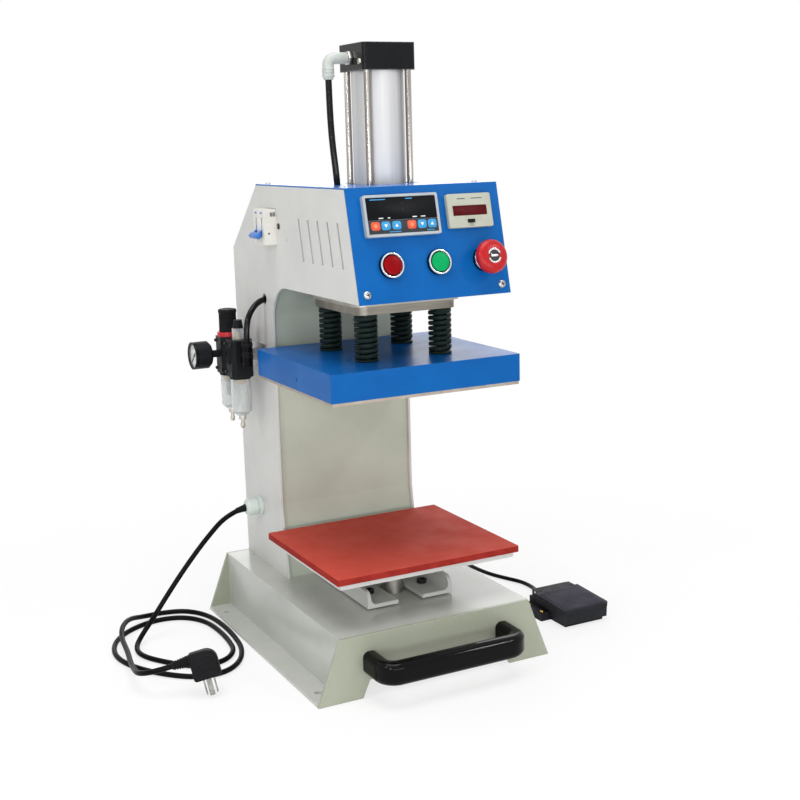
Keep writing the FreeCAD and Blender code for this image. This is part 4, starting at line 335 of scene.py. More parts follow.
def soften(shape, geom, offset, steps, affect="EDGES"):
    bmesh.ops.bevel(shape, geom=geom, offset=offset, offset_type="OFFSET", segments=steps, profile=0.5,
                    affect=affect, material=-1, clamp_overlap=True)


def raise_faces(shape, height):
    """Draws a flat shape's faces up into a solid."""
    made = bmesh.ops.extrude_face_region(shape, geom=list(shape.faces))
    moved = [item for item in made["geom"] if isinstance(item, bmesh.types.BMVert)]
    bmesh.ops.translate(shape, vec=(0, 0, height), verts=moved)
    bmesh.ops.recalc_face_normals(shape, faces=shape.faces)


def rounded_block(size, rounding, steps=3):
    shape = bmesh.new()
    bmesh.ops.create_cube(shape, size=1.0)
    bmesh.ops.scale(shape, vec=size, verts=shape.verts)
    soften(shape, list(shape.edges), rounding, steps)
    return shape


def rounded_plate(width, height, depth, corner, rim, steps=5):
    """A plate with its back on the local XY plane, rounded corners and a softened front rim."""
    shape = bmesh.new()
    bmesh.ops.create_cube(shape, size=1.0)
    bmesh.ops.scale(shape, vec=(width, height, depth), verts=shape.verts)
    bmesh.ops.translate(shape, vec=(0, 0, depth / 2), verts=shape.verts)
    uprights = [edge for edge in shape.edges if abs(edge.verts[0].co.z - edge.verts[1].co.z) > depth / 2]
    soften(shape, uprights, corner, steps)
    front = [edge for edge in shape.edges if min(vert.co.z for vert in edge.verts) > depth * 0.99]
    soften(shape, front, rim, 2)
    return shape


def turned(profile, steps=64, sweep=FULL_TURN):
    """A shape spun about Z from (radius, height) pairs."""
    shape = bmesh.new()
    points = [shape.verts.new((radius, 0, height)) for radius, height in profile]
    edges = [shape.edges.new(pair) for pair in zip(points, points[1:])]
    whole = sweep == FULL_TURN
    bmesh.ops.spin(shape, geom=points + edges, cent=(0, 0, 0), axis=(0, 0, 1), dvec=(0, 0, 0), angle=sweep,
                   steps=steps, use_merge=whole)
    bmesh.ops.remove_doubles(shape, verts=shape.verts, dist=MERGE_DISTANCE)
    if not whole:
        bmesh.ops.holes_fill(shape, edges=[edge for edge in shape.edges if edge.is_boundary], sides=0)
    bmesh.ops.recalc_face_normals(shape, faces=shape.faces)
    return shape


def fluted(shape, count, depth, low, high):
    """Presses shallow flutes into the wall of a turned shape between two heights."""
    for vert in shape.verts:
        if low <= vert.co.z <= high:
            radius = math.hypot(vert.co.x, vert.co.y)
            wave = 0.5 - 0.5 * math.cos(count * math.atan2(vert.co.y, vert.co.x))
            share = 1 - depth * wave / radius
            vert.co.x *= share
            vert.co.y *= share
    return shape


def polygon_bar(sides, radius, length, rim):
    """A bar of regular section along Z, such as a hexagon nut."""
    shape = bmesh.new()
    bmesh.ops.create_circle(shape, cap_ends=True, segments=sides, radius=radius)
    raise_faces(shape, length)
    ends = [edge for edge in shape.edges if abs(edge.verts[0].co.z - edge.verts[1].co.z) < length / 2]
    soften(shape, ends, rim, 2)
    return shape


def join(target, shape, at=None, material=0):
    """Puts a shape into a piece's mesh, at a place, with one of the piece's finishes."""
    for face in shape.faces:
        face.material_index = material
    if at is not None:
        shape.transform(at)
    mesh = mesh_from(shape, "passing")
    target.from_mesh(mesh)
    bpy.data.meshes.remove(mesh)


def add_piece(name, shape, finishes, body):
    """A finished piece in the frame, riding on a body."""
    shape.transform(Matrix.Scale(MM, 4))
    mesh = mesh_from(shape, name)
    for finish in finishes:
        mesh.materials.append(finish)
    mesh.shade_smooth()
    mesh.set_sharp_from_angle(angle=SMOOTH_ANGLE)
    piece = place_in_scene(name, mesh)
    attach(piece, body)
    return piece


def spot(x, y, z, turn=None):
    place = Matrix.Translation((x, y, z))
    return place if turn is None else place @ turn


FACING_LEFT = Matrix.Rotation(math.radians(-90), 4, "Y")
FACING_RIGHT = Matrix.Rotation(math.radians(90), 4, "Y")
FACING_FRONT = Matrix.Rotation(math.radians(90), 4, "X")
FACING_BACK = Matrix.Rotation(math.radians(-90), 4, "X")
FACING_DOWN = Matrix.Rotation(math.radians(180), 4, "X")
QUARTER = Matrix.Rotation(math.radians(90), 4, "Z")

HEAD_TOP_Z = 608
SIDE_X = 100
PANEL_TOP_Y = -181
PANEL_LEAN = math.atan2(31, 130)
PANEL = (Matrix.Translation((0, PANEL_TOP_Y, HEAD_TOP_Z))
         @ Matrix.Rotation(math.radians(90) - PANEL_LEAN, 4, "X"))


def on_panel(across, down, out=0):
    return PANEL @ Matrix.Translation((across, -down, out))


# The plug's body stands on its pins: X across it, Y from the pins up, Z through its thickness
PLUG = (Matrix.Translation((-264, -83, 38.4)) @ Matrix.Rotation(math.radians(-20), 4, "Z")
        @ Matrix.Rotation(math.radians(-14), 4, "X") @ Matrix.Rotation(math.radians(-13), 4, "Y")
        @ Matrix.Rotation(math.radians(90), 4, "X"))
# The treadle's deck, from the hinge pin, tilted to its front
TREADLE = Matrix.Translation((265, -56, 27)) @ Matrix.Rotation(math.radians(2.5), 4, "X")


# Cords, on the routes of their solids, in millimetres

MAINS_ROUTE = [
    (-124, 131, 162), (-150, 131, 157), (-182, 131, 128), (-215, 130, 92), (-243, 130, 57), (-265, 128, 29),
    (-288, 117, 9), (-302, 93, 3.6), (-301, 62, 3.6), (-279, 26, 3.6), (-251, -7, 3.6), (-214, -9, 3.6),
    (-190, 17, 3.6), (-184, 55, 3.6), (-183, 100, 3.6), (-188, 142, 3.6), (-208, 172, 3.6), (-239, 182, 3.6),
    (-272, 174, 3.6), (-303, 153, 3.6), (-325, 120, 3.6), (-333, 77, 3.6), (-321, 32, 3.6), (-293, -10, 3.6),
    (-260, -40, 3.6), (-224, -43, 3.6), (-196, -20, 3.6), (-178, 20, 3.6), (-172, 66, 3.6), (-171, 116, 3.6),
    (-177, 163, 3.6), (-198, 196, 3.6), (-230, 206, 3.6), (-261, 199, 6), (-287, 178, 15), (-305, 149, 15),
    (-313, 118, 11), (-316.5, 88, 11.5), (-321, 58, 13), (-327, 27, 14.5), (-332, -7.8, 18.5),
    (-335.6, -37, 25), (-330, -52.9, 29.8),
]
PEDAL_ROUTE = [
    (265, -32, 9), (270, -6, 6.5), (279, 18, 3.3), (279, 46, 3.3), (267, 73, 3.3), (256, 102, 3.3),
    (251, 136, 3.3), (250, 174, 3.3), (243, 212, 3.3), (229, 248, 3.3), (205, 280, 3.3), (172, 298, 3.3),
    (134, 302, 3.3),
]
TAIL_ROUTE = [
    (122, 305.2, 10.1), (98, 302, 11), (76, 288, 17), (63, 264, 27), (59, 238, 38), (62, 213, 44),
    (62, 193, 44),
]
CYLINDER_HOSE_ROUTE = [
    (-65, -72, 732), (-65, -72.4, 697.4), (-64.2, -74.4, 659.3), (-60.6, -74.8, 623), (-57.4, -72.8, 590.1),
    (-57, -72, 559),
]
SUPPLY_HOSE_ROUTE = [
    (-133, 67, 406), (-133, 67, 427.8), (-122.8, 71.3, 447.1), (-105.3, 78.8, 458), (-88, 84, 458),
]
MAINS_DIAMETER = 7
PEDAL_DIAMETER = 6
HOSE_DIAMETER = 8
# The relief's mouth on the plug, and the straight run of cord before it
PLUG_MOUTH_X = -39
PLUG_MOUTH_Y = 9
PLUG_RUN = 17.4

COIL_CENTRE = (128, 262, 3.3)
COIL_STEP = 6.8
COIL_OUTER_RADIUS = 39.8
COIL_QUARTERS = 28
COIL_TURNING_QUARTER = 13
COIL_CLIMB_START = 12
COIL_CLIMB_QUARTERS = 2
QUARTERS_PER_TURN = 4
POINTS_PER_QUARTER = 4

TIE_HALF_SIZE = (17.5, 8.2, 1)
TIE_CORNER = 4.5
TIE_THICKNESS = 0.6
TIE_WIDTH = 7
TIE_PLACE = (COIL_CENTRE[0] + 29, COIL_CENTRE[1] + 3.5, 8.25)


def coil_points():
    """Turns that wind inwards on the floor, climb, and wind outwards on top of themselves."""
    points = []
    for count in range(1, COIL_QUARTERS * POINTS_PER_QUARTER):
        quarter = count / POINTS_PER_QUARTER
        beyond = abs(quarter - COIL_TURNING_QUARTER)
        radius = COIL_OUTER_RADIUS - COIL_STEP * (COIL_TURNING_QUARTER - beyond) / QUARTERS_PER_TURN
        climbed = min(max(quarter - COIL_CLIMB_START, 0), COIL_CLIMB_QUARTERS)
        lift = COIL_STEP * climbed / COIL_CLIMB_QUARTERS
        angle = math.pi / 2 + quarter * math.pi / 2
        points.append((COIL_CENTRE[0] + radius * math.cos(angle), COIL_CENTRE[1] + radius * math.sin(angle),
                       COIL_CENTRE[2] + lift))
    return points


def lay_cord(name, route, diameter, finish, slot, *nodes):
    curve = bpy.data.curves.new(name, "CURVE")
    curve.dimensions = "3D"
    spline = curve.splines.new("NURBS")
    spline.points.add(len(route) - 1)
    for point, place in zip(spline.points, route):
        point.co = (place[0] * MM, place[1] * MM, place[2] * MM, 1)
    spline.order_u = 3
    spline.use_endpoint_u = True
    spline.resolution_u = 8
    curve.bevel_depth = diameter / 2 * MM
    curve.bevel_resolution = 5
    curve.use_fill_caps = True
    curve.materials.append(finish)
    cord = place_in_scene(name, curve)
    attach(cord, "frame")
    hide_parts(*nodes)
    return cord


def coil_tie():
    """A flat strap round the bundle of turns."""
    strap = bmesh.new()
    bmesh.ops.create_grid(strap, x_segments=1, y_segments=1, size=1.0)
    bmesh.ops.scale(strap, vec=TIE_HALF_SIZE, verts=strap.verts)
    soften(strap, list(strap.verts), TIE_CORNER, 4, "VERTICES")
    bmesh.ops.inset_region(strap, faces=list(strap.faces), thickness=TIE_THICKNESS, use_even_offset=True,
                           use_boundary=True)
    inner = max(strap.faces, key=lambda face: len(face.verts))
    bmesh.ops.delete(strap, geom=[inner], context="FACES_ONLY")
    raise_faces(strap, TIE_WIDTH)
    strap.transform(spot(*TIE_PLACE, FACING_FRONT))
    return add_piece("coil_tie", strap, [black_nylon], "frame")


def lay_cords(plug):
    arrival = [tuple(PLUG @ Vector((PLUG_MOUTH_X - run, PLUG_MOUTH_Y, 0))) for run in (PLUG_RUN, 0)]
    mains = lay_cord("mains_lead", MAINS_ROUTE + arrival, MAINS_DIAMETER, cord_rubber, "cord_rubber",
                     "mains_cord")
    pedal = lay_cord("pedal_lead", PEDAL_ROUTE + coil_points() + TAIL_ROUTE, PEDAL_DIAMETER, cord_rubber,
                     "cord_rubber", "pedal_cord", "pedal_coil")
    coil_tie()
    drop = lay_cord("drop_hose", CYLINDER_HOSE_ROUTE, HOSE_DIAMETER, hose_plastic, "hose", "cylinder_hose")
    supply = lay_cord("feed_hose", SUPPLY_HOSE_ROUTE, HOSE_DIAMETER, hose_plastic, "hose", "supply_hose")


# Press head

SPRING_PLACES = [(x, y) for x in (-51, 51) for y in (-124, -20)]
SPRING_TURNS = 8
SPRING_STEPS = SPRING_TURNS * 28
SPRING_RADIUS = 12
SPRING_FOOT_Z = 400.8
SPRING_RISE = 51.9
WIRE_HALF_SIZES = (2.5, 2.6)
# Below one, the power squares the wire's round section
WIRE_SQUARENESS = 0.5
END_RING = [(9.6, 0), (14.2, 0), (14.4, 0.3), (14.4, 2.1), (14.2, 2.4), (9.6, 2.4), (9.6, 0)]
END_RING_HEIGHTS = (398.35, 452.75)
SLEEVE = [(5.4, 0), (7.9, 0), (8.4, 0.5), (8.4, 47.4), (5.4, 47.4), (5.4, 0)]
SLEEVE_FOOT_Z = 408

PAD_SIZE = (254, 224, 8)
PAD_CORNER = 3
PAD_RIM = 1.2
PAD_PLACE = (0, -72, 142)


def close_ends(shape):
    bmesh.ops.holes_fill(shape, edges=[edge for edge in shape.edges if edge.is_boundary], sides=0)
    bmesh.ops.recalc_face_normals(shape, faces=shape.faces)


def spring_wire():
    """One wound spring of squarish wire, from its foot up."""
    wire = bmesh.new()
    bmesh.ops.create_circle(wire, cap_ends=False, segments=16, radius=1)
    for vert in wire.verts:
        vert.co.x = math.copysign(abs(vert.co.x) ** WIRE_SQUARENESS, vert.co.x) * WIRE_HALF_SIZES[0]
        vert.co.y = math.copysign(abs(vert.co.y) ** WIRE_SQUARENESS, vert.co.y) * WIRE_HALF_SIZES[1]
    wire.transform(spot(SPRING_RADIUS, 0, 0, FACING_FRONT))
    bmesh.ops.spin(wire, geom=list(wire.verts) + list(wire.edges), cent=(0, 0, 0), axis=(0, 0, 1),
                   dvec=(0, 0, SPRING_RISE / SPRING_STEPS), angle=FULL_TURN * SPRING_TURNS,
                   steps=SPRING_STEPS, use_merge=False)
    close_ends(wire)
    return wire


def springs():
    """Four die springs with flat ground ends, round black sleeves on the guide bolts."""
    pieces = bmesh.new()
    sleeves = bmesh.new()
    for x, y in SPRING_PLACES:
        join(pieces, spring_wire(), spot(x, y, SPRING_FOOT_Z))
        for height in END_RING_HEIGHTS:
            join(pieces, turned(END_RING, 40), spot(x, y, height))
        join(sleeves, turned(SLEEVE, 40), spot(x, y, SLEEVE_FOOT_Z))
    piece = add_piece("springs", pieces, [spring_enamel], "ram")
    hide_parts("press_springs")
    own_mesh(piece)
    add_piece("guide_sleeves", sleeves, [black_nylon], "ram")


def silicone_pad():
    pad = rounded_plate(*PAD_SIZE, PAD_CORNER, PAD_RIM)
    pad.normal_update()
    for face in pad.faces:
        # Upright faces take the darker finish, which is painted shade
        face.material_index = 0 if face.normal.z > 0.8 else 1
    pad.transform(spot(*PAD_PLACE))
    piece = add_piece("pad", pad, [pad_silicone, pad_edge_shaded], "frame")
    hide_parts("silicone_pad")


# Screws

RECESS_TURN = 0.35
PANEL_SCREW_ACROSS = 89
PANEL_SCREW_DOWN = 122.6
REAR_COVER_Y = 190
REAR_SCREWS = [(x, z) for x in (-84, 84) for z in (96, 300, 506)]
TOP_SCREWS = [(x, y) for x in (-88, 88) for y in (-150, 80)]
# Places as Y and Z on the side plates and on the platen's ends
BREAKER_SCREW = (20, 556)
PAINTED_SCREW = (-4, 541)
RIGHT_SCREWS = ((150, 112), (70, 112), (150, 470))
PLATEN_SCREW = (-84, 377)
PLATEN_SIDE_X = 128


def pan_head(radius, height):
    return turned([(0, height), (radius * 0.45, height * 0.97), (radius * 0.78, height * 0.72),
                   (radius * 0.96, height * 0.34), (radius, 0), (0, 0)], 32)


def crossed_screw(target, place, radius, height, head, recess):
    """A domed screw whose cross recess is painted shade: a dark cross that stands a hair proud of the dome.
    """
    join(target, pan_head(radius, height), place, head)
    for turn in (RECESS_TURN, RECESS_TURN + math.pi / 2):
        bar = rounded_block((radius * 1.05, radius * 0.26, 0.5), 0.08, 1)
        join(target, bar, place @ spot(0, 0, height - 0.16, Matrix.Rotation(turn, 4, "Z")), recess)


def small_screws():
    heads = bmesh.new()
    # The dark crosses in the heads are painted shade of their recesses
    for side in (-1, 1):
        crossed_screw(heads, on_panel(side * PANEL_SCREW_ACROSS, PANEL_SCREW_DOWN), 5, 3, 0, 1)
    piece = add_piece("panel_screw_heads", heads, [zinc_steel, print_black], "frame")
    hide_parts("panel_screws")
    covers = bmesh.new()
    for x, z in REAR_SCREWS:
        crossed_screw(covers, spot(x, REAR_COVER_Y, z, FACING_BACK), 4.2, 2.2, 0, 1)
    for x, y in TOP_SCREWS:
        crossed_screw(covers, spot(x, y, HEAD_TOP_Z), 3.6, 1.8, 0, 1)
    add_piece("cover_screws", covers, [zinc_steel, print_black], "frame")
    darks = bmesh.new()
    crossed_screw(darks, spot(-SIDE_X, *BREAKER_SCREW, FACING_LEFT), 4.0, 1.8, 0, 1)
    crossed_screw(darks, spot(-SIDE_X, *PAINTED_SCREW, FACING_LEFT), 2.4, 0.5, 2, 2)
    for y, z in RIGHT_SCREWS:
        crossed_screw(darks, spot(SIDE_X, y, z, FACING_RIGHT), 3.6, 1.8, 0, 1)
    add_piece("side_screws", darks, [black_oxide, brass, side_enamel], "frame")
    dot = bmesh.new()
    crossed_screw(dot, spot(-PLATEN_SIDE_X, *PLATEN_SCREW, FACING_LEFT), 2.6, 1.0, 0, 0)
    crossed_screw(dot, spot(PLATEN_SIDE_X, *PLATEN_SCREW, FACING_RIGHT), 2.6, 1.0, 0, 0)
    add_piece("platen_side_screws", dot, [blue_enamel], "platen")


# Control panel, as places across it, down from its top edge and out from its face

CONTROLLER_ACROSS = -34.5
CONTROLLER_FLOOR = 6
CONTROLLER_PRINT = 6.58
WINDOW_DOWN = 26.6
WINDOW_SIZE = (89.6, 25.8, 0.6)
STRIP_DOWN = 47.5
STRIP_SIZE = (89.6, 15.4, 0.5)
KEY_DOWN = 46.2
KEY_SIZE = (11.4, 9.8, 0.36)
KEY_OUT = 6.46
KEY_PRINT = 6.8
GLASS, STRIP, ORANGE, CYAN, WHITE_INK, PEACH_INK = range(6)
CONTROLLER_FINISHES = [glass_black, key_strip, key_orange, key_cyan, print_white, key_peach]
# Each key's place, its film, and which way its arrow points
CONTROLLER_KEYS = ((-70.3, ORANGE, 0), (-57.2, CYAN, -1), (-43.4, CYAN, 1),
                   (-23.9, ORANGE, 0), (-10.4, CYAN, -1), (2.7, CYAN, 1))
# Plain bars of ink: place across and down, length and ink
CONTROLLER_BARS = ((-64, 16, 20, CYAN), (-24, 16, 9, CYAN), (-46, 53.4, 15, CYAN), (0, 53.4, 10, CYAN),
                   (-62.4, 37.4, 6, WHITE_INK), (-52, 37.4, 3, WHITE_INK), (-19, 37.4, 6, WHITE_INK),
                   (-8, 37.4, 6, WHITE_INK))

COUNTER_ACROSS = 55.5
COUNTER_FLOOR = 5
COUNTER_FRONT = 6
COUNTER_WINDOW_DOWN = 33.5
COUNTER_RING_DOWN = 50.4
COUNTER_BARS_DOWN = 19.5
COUNTER_BARS = ((45, 11), (66, 15))

BUTTON_DOWN = 91.3
RED_ACROSS = -54.7
GREEN_ACROSS = 7.4
STOP_ACROSS = 69.0
COLLAR = [(10.9, -30), (10.9, -0.1), (15, 0), (15, 3.4), (14.5, 4.1), (11.5, 4.1), (11.5, 0.4), (10.3, 0.4),
          (10.3, -4.5), (0, -4.5)]
COLLAR_RIM = [(14.4, 3.8), (14.95, 4.5), (14.8, 5.3), (14.3, 5.95), (13.6, 6.1), (12.9, 5.95), (12.4, 5.3),
              (12.3, 4.0)]
COLLAR_LINER = [(12.35, 4.0), (12.3, 5.3), (11.9, 5.5), (11.5, 5.2), (11.5, 3.0)]
LENS_CAP = [(0, -0.4), (9.5, -0.4), (9.5, 4.6), (11.2, 4.6), (11.2, 6.2), (10.9, 6.8), (10.2, 7.15), (7, 7.4),
            (0, 7.5)]
MUSHROOM = [(4.3, 13), (16.5, 13), (18.6, 13.6), (19.7, 15.2), (20, 17.2), (19.9, 19.6), (19.2, 21.7),
            (17.6, 23.5), (15, 24.8), (12, 25.45), (9.6, 25.6), (9.2, 25.1), (0, 25.1)]
STOP_DISC = [(0, 25.5), (6.4, 25.5), (6.7, 25.1)]
STOP_ARC = [(6.9, 25.1), (8.8, 25.1), (8.8, 25.75), (6.9, 25.75), (6.9, 25.1)]
STOP_ARC_SWEEP = math.radians(140)
STOP_BAR_OUT = 25.4


def controller_face():
    """The window, the key strip under it and six film keys, all inside the bezel's recess."""
    face = bmesh.new()
    for size, down, finish in ((WINDOW_SIZE, WINDOW_DOWN, GLASS), (STRIP_SIZE, STRIP_DOWN, STRIP)):
        place = on_panel(CONTROLLER_ACROSS, down, CONTROLLER_FLOOR)
        join(face, rounded_plate(*size, 0.8, 0.2), place, finish)
    for across, film, arrow in CONTROLLER_KEYS:
        join(face, rounded_plate(*KEY_SIZE, 2.8, 0.15), on_panel(across, KEY_DOWN, KEY_OUT), film)
        if arrow:
            turn = 0 if arrow > 0 else math.pi
            place = on_panel(across, KEY_DOWN + 0.4 * arrow, KEY_PRINT) @ Matrix.Rotation(turn, 4, "Z")
            join(face, polygon_bar(3, 2.5, 0.12, 0.02), place, WHITE_INK)
        else:
            join(face, polygon_bar(4, 3.1, 0.1, 0.02), on_panel(across, KEY_DOWN, KEY_PRINT), PEACH_INK)
    for across, down, length, ink in CONTROLLER_BARS:
        join(face, rounded_plate(length, 1.1, 0.1, 0.4, 0.03), on_panel(across, down, CONTROLLER_PRINT), ink)
    for down in (21.5, 27.5):
        dot = turned([(0.7, 0), (0.7, 0.08), (0, 0.08)], 16)
        join(face, dot, on_panel(-33, down, CONTROLLER_PRINT), STRIP)
    add_piece("controller_face", face, CONTROLLER_FINISHES, "frame")


def counter_face():
    """The red window, the ring under it and two bars of ink."""
    face = bmesh.new()
    join(face, rounded_plate(45.6, 11.6, 0.7, 0.5, 0.15),
         on_panel(COUNTER_ACROSS, COUNTER_WINDOW_DOWN, COUNTER_FLOOR), 0)
    join(face, turned([(2.0, 0), (2.0, 0.06), (1.5, 0.06), (1.5, 0)], 28),
         on_panel(COUNTER_ACROSS, COUNTER_RING_DOWN, COUNTER_FRONT), 1)
    for across, width in COUNTER_BARS:
        bar = rounded_plate(width, 0.9, 0.06, 0.3, 0.02)
        join(face, bar, on_panel(across, COUNTER_BARS_DOWN, COUNTER_FRONT), 2)
    add_piece("counter_face", face, [window_red, print_black, key_strip], "frame")


def panel_buttons():
    """Dark collars with bright rims and dark liners, domed lenses, and the stop button's red mushroom."""
    collars = bmesh.new()
    for across in (RED_ACROSS, GREEN_ACROSS, STOP_ACROSS):
        place = on_panel(across, BUTTON_DOWN)
        for profile, finish in ((COLLAR, 0), (COLLAR_RIM, 1), (COLLAR_LINER, 0)):
            join(collars, turned(profile), place, finish)
    piece = add_piece("button_collars", collars, [black_gloss, bright_ring], "frame")
    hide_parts("button_bezels")

    for colour, across, lens in (("red", RED_ACROSS, lens_red), ("green", GREEN_ACROSS, lens_green)):
        cap = turned(LENS_CAP)
        cap.transform(on_panel(across, BUTTON_DOWN))
        piece = add_piece(colour + "_lens", cap, [lens], colour + "_button")
        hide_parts(colour + "_button_cap")

    head = bmesh.new()
    place = on_panel(STOP_ACROSS, BUTTON_DOWN)
    join(head, turned(MUSHROOM, 96), place, 0)
    join(head, turned(STOP_DISC), place, 1)
    for middle in (math.pi / 2, -math.pi / 2):
        arc = turned(STOP_ARC, 30, STOP_ARC_SWEEP)
        join(head, arc, place @ Matrix.Rotation(middle - STOP_ARC_SWEEP / 2, 4, "Z"), 2)
    join(head, rounded_plate(9.5, 2.6, 0.3, 1.2, 0.1), place @ Matrix.Translation((0, 0, STOP_BAR_OUT)), 2)
    piece = add_piece("stop_mushroom", head, [stop_red, print_black, bright_ring], "stop_head")
    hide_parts("stop_button_head")


# Sides of the head

BREAKER_FACE_X = -117
BREAKER_FRONT_Y = 27.5
BREAKER_MIDDLE_Y = 45.5
BREAKER_MIDDLE_Z = 555
# The white cheeks beside the two lever slots, from and to along Y
BREAKER_CHEEKS = ((30.5, 34.6), (38.4, 52.6), (56.4, 60.5))
BREAKER_RIVET_X = -110.5
BREAKER_RIVET_Z = 547
LEVER_HUB_X = -110
LEVER_OFFSET = 9
LEVER_REST = math.radians(-40.0)
LEVER_DISC = [(0, -1.5), (6.3, -1.5), (6.6, -1.2), (6.6, 1.2), (6.3, 1.5), (0, 1.5)]

# The black sheets of painted shade behind the vents
SHADE_SHEET_X = 96.5
SHADE_SHEET_SIZE = (60, 141, 0.4)
SHADE_SHEET_MIDDLE = (-107, 542)


def breaker_details():
    """The seam of the two modules, cheeks beside the levers, printed dashes, a ribbed mouth of painted shade
    and a rivet.
    """
    details = bmesh.new()
    join(details, rounded_block((0.4, 0.4, 45), 0.1, 1), spot(-116.9, BREAKER_MIDDLE_Y, BREAKER_MIDDLE_Z), 3)
    for low, high in BREAKER_CHEEKS:
        join(details, rounded_block((1.6, high - low, 24), 0.3, 2),
             spot(-116.1, (low + high) / 2, BREAKER_MIDDLE_Z), 3)
    for side in (-LEVER_OFFSET, LEVER_OFFSET):
        join(details, rounded_plate(7, 2.6, 0.1, 0.6, 0.03),
             spot(BREAKER_FACE_X, BREAKER_MIDDLE_Y + side, 573, FACING_LEFT @ QUARTER), 2)
    # Dark grey ribs: painted shade of the ribbed mouth's recess
    for rib in range(4):
        join(details, rounded_plate(1.3, 5.4, 0.12, 0.5, 0.05),
             spot(-101.8 - 1.9 * rib, BREAKER_FRONT_Y, 571, FACING_FRONT), 0)
    rivet = spot(BREAKER_RIVET_X, BREAKER_FRONT_Y, BREAKER_RIVET_Z, FACING_FRONT)
    join(details, turned([(2.6, 0), (2.6, 0.12), (1.3, 0.12)], 28), rivet, 3)
    join(details, turned([(1.3, 0), (1.3, 0.1), (0, 0.1)], 28), rivet, 1)
    add_piece("breaker_details", details, [key_strip, print_black, breaker_blue, breaker_white], "frame")


def breaker_lever():
    """Two levers on one axis, joined by a finger bar."""
    lever = bmesh.new()
    hub = spot(LEVER_HUB_X, BREAKER_MIDDLE_Y, BREAKER_MIDDLE_Z, Matrix.Rotation(LEVER_REST, 4, "Y"))
    for y in (-LEVER_OFFSET, LEVER_OFFSET):
        join(lever, turned(LEVER_DISC, 48), hub @ spot(0, y, 0, FACING_FRONT), 0)
        join(lever, rounded_block((14, 3, 4.4), 0.8, 3), hub @ spot(-7, y, 0), 0)
    join(lever, rounded_block((7.9, 29, 6.4), 2.2, 4), hub @ spot(-16.45, 0, 0), 0)
    piece = add_piece("lever_bar", lever, [breaker_blue], "breaker_lever")
    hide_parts("breaker_toggle")


def vent_shade_sheets():
    """A black sheet inside the head behind each row of vents: painted shade, so that the slots read dark."""
    for name, x, facing in (("left_vent_shade_sheet", -SHADE_SHEET_X, FACING_LEFT),
                            ("right_vent_shade_sheet", SHADE_SHEET_X, FACING_RIGHT)):
        card = rounded_plate(*SHADE_SHEET_SIZE, 3, 0.1)
        card.transform(spot(x, *SHADE_SHEET_MIDDLE, facing))
        add_piece(name, card, [vent_shade_black], "frame")


# Cylinder

CAP_LEFT_X = -35
ELBOW_Y = -72
ELBOW_Z = 757
ELBOW_RADIUS = 6.9
BEND_START_X = -57
BEND_RADIUS = 8
ELBOW_NECK = [(0, 0), (5.4, 0), (5.4, 2), (6.6, 2.4), (6.9, 3.2), (ELBOW_RADIUS, 17)]
ELBOW_SOCKET = [(6.9, 0), (6.9, 3), (7.4, 3.4), (7.4, 5), (6.9, 5.4), (6.9, 6.6), (7.4, 7), (7.4, 8.6),
                (6.9, 9), (6.9, 10.2), (7.5, 10.8), (7.5, 13.6), (6.4, 14.2), (6.0, 14.4), (6.0, 16.4),
                (5.4, 17), (4.1, 17), (4.1, 12)]
CUSHION_SCREW = [(0, 0.6), (1.2, 0.6), (1.4, 1.6), (3.2, 1.4), (3.6, 0)]
CUSHION_SCREW_PLACE = (CAP_LEFT_X, -96, 752)


def cap_elbow():
    """A push-in elbow: bright hexagon at the cap, smooth bend, gripping ribs and a release collar."""
    elbow = bmesh.new()
    join(elbow, polygon_bar(6, 8.8, 5.5, 0.6), spot(CAP_LEFT_X, ELBOW_Y, ELBOW_Z, FACING_LEFT), 1)
    join(elbow, turned(ELBOW_NECK), spot(CAP_LEFT_X - 5, ELBOW_Y, ELBOW_Z, FACING_LEFT), 0)
    bend = bmesh.new()
    bmesh.ops.create_circle(bend, cap_ends=False, segments=48, radius=ELBOW_RADIUS,
                            matrix=spot(BEND_START_X, ELBOW_Y, ELBOW_Z, FACING_LEFT))
    bmesh.ops.spin(bend, geom=list(bend.verts) + list(bend.edges),
                   cent=(BEND_START_X, ELBOW_Y, ELBOW_Z - BEND_RADIUS), axis=(0, 1, 0), dvec=(0, 0, 0),
                   angle=math.radians(-90), steps=20, use_merge=False)
    bmesh.ops.recalc_face_normals(bend, faces=bend.faces)
    join(elbow, bend, None, 0)
    join(elbow, turned(ELBOW_SOCKET),
         spot(BEND_START_X - BEND_RADIUS, ELBOW_Y, ELBOW_Z - BEND_RADIUS, FACING_DOWN), 0)
    piece = add_piece("elbow_fitting", elbow, [white_nylon, nickel], "frame")
    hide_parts("cap_elbow")
    cap = bmesh.new()
    join(cap, turned(CUSHION_SCREW, 32), spot(*CUSHION_SCREW_PLACE, FACING_LEFT), 0)
    add_piece("cushion_screw", cap, [nickel], "frame")


# Air service unit

AIR_X = -133
AIR_FRONT_X = -148
AIR_BACK_Y = 152
REGULATOR_Y = 137
LUBRICATOR_Y = 98
OUTLET_Y = 67
OUTLET_Z = 380
PORT_Z = 379
KNOB_FOOT_Z = 411
BOWL_TOP_Z = 352
BOWL_CORE_Z = 345
BODY_SCREW_OFFSET = 10.5
BODY_SCREW_HEIGHTS = (399, 361)
KNOB = [(0, 30.2), (6, 30.2), (6.3, 30.7), (10.2, 30.7), (11.7, 30.2), (12.4, 29.1), (12.5, 26.6),
        (12.1, 25.2), (11.8, 24.4), (11.8, 22.5), (11.85, 12), (12.1, 2.2), (12.3, 1.4), (12.0, 0.3),
        (6.5, 0.3)]
KNOB_FLUTES = 22
PORT_PLUG = [(0, 2.4), (3.2, 2.4), (3.2, 1.2), (3.8, 1.2), (4.6, 2.2), (6.4, 2.2), (7, 0)]
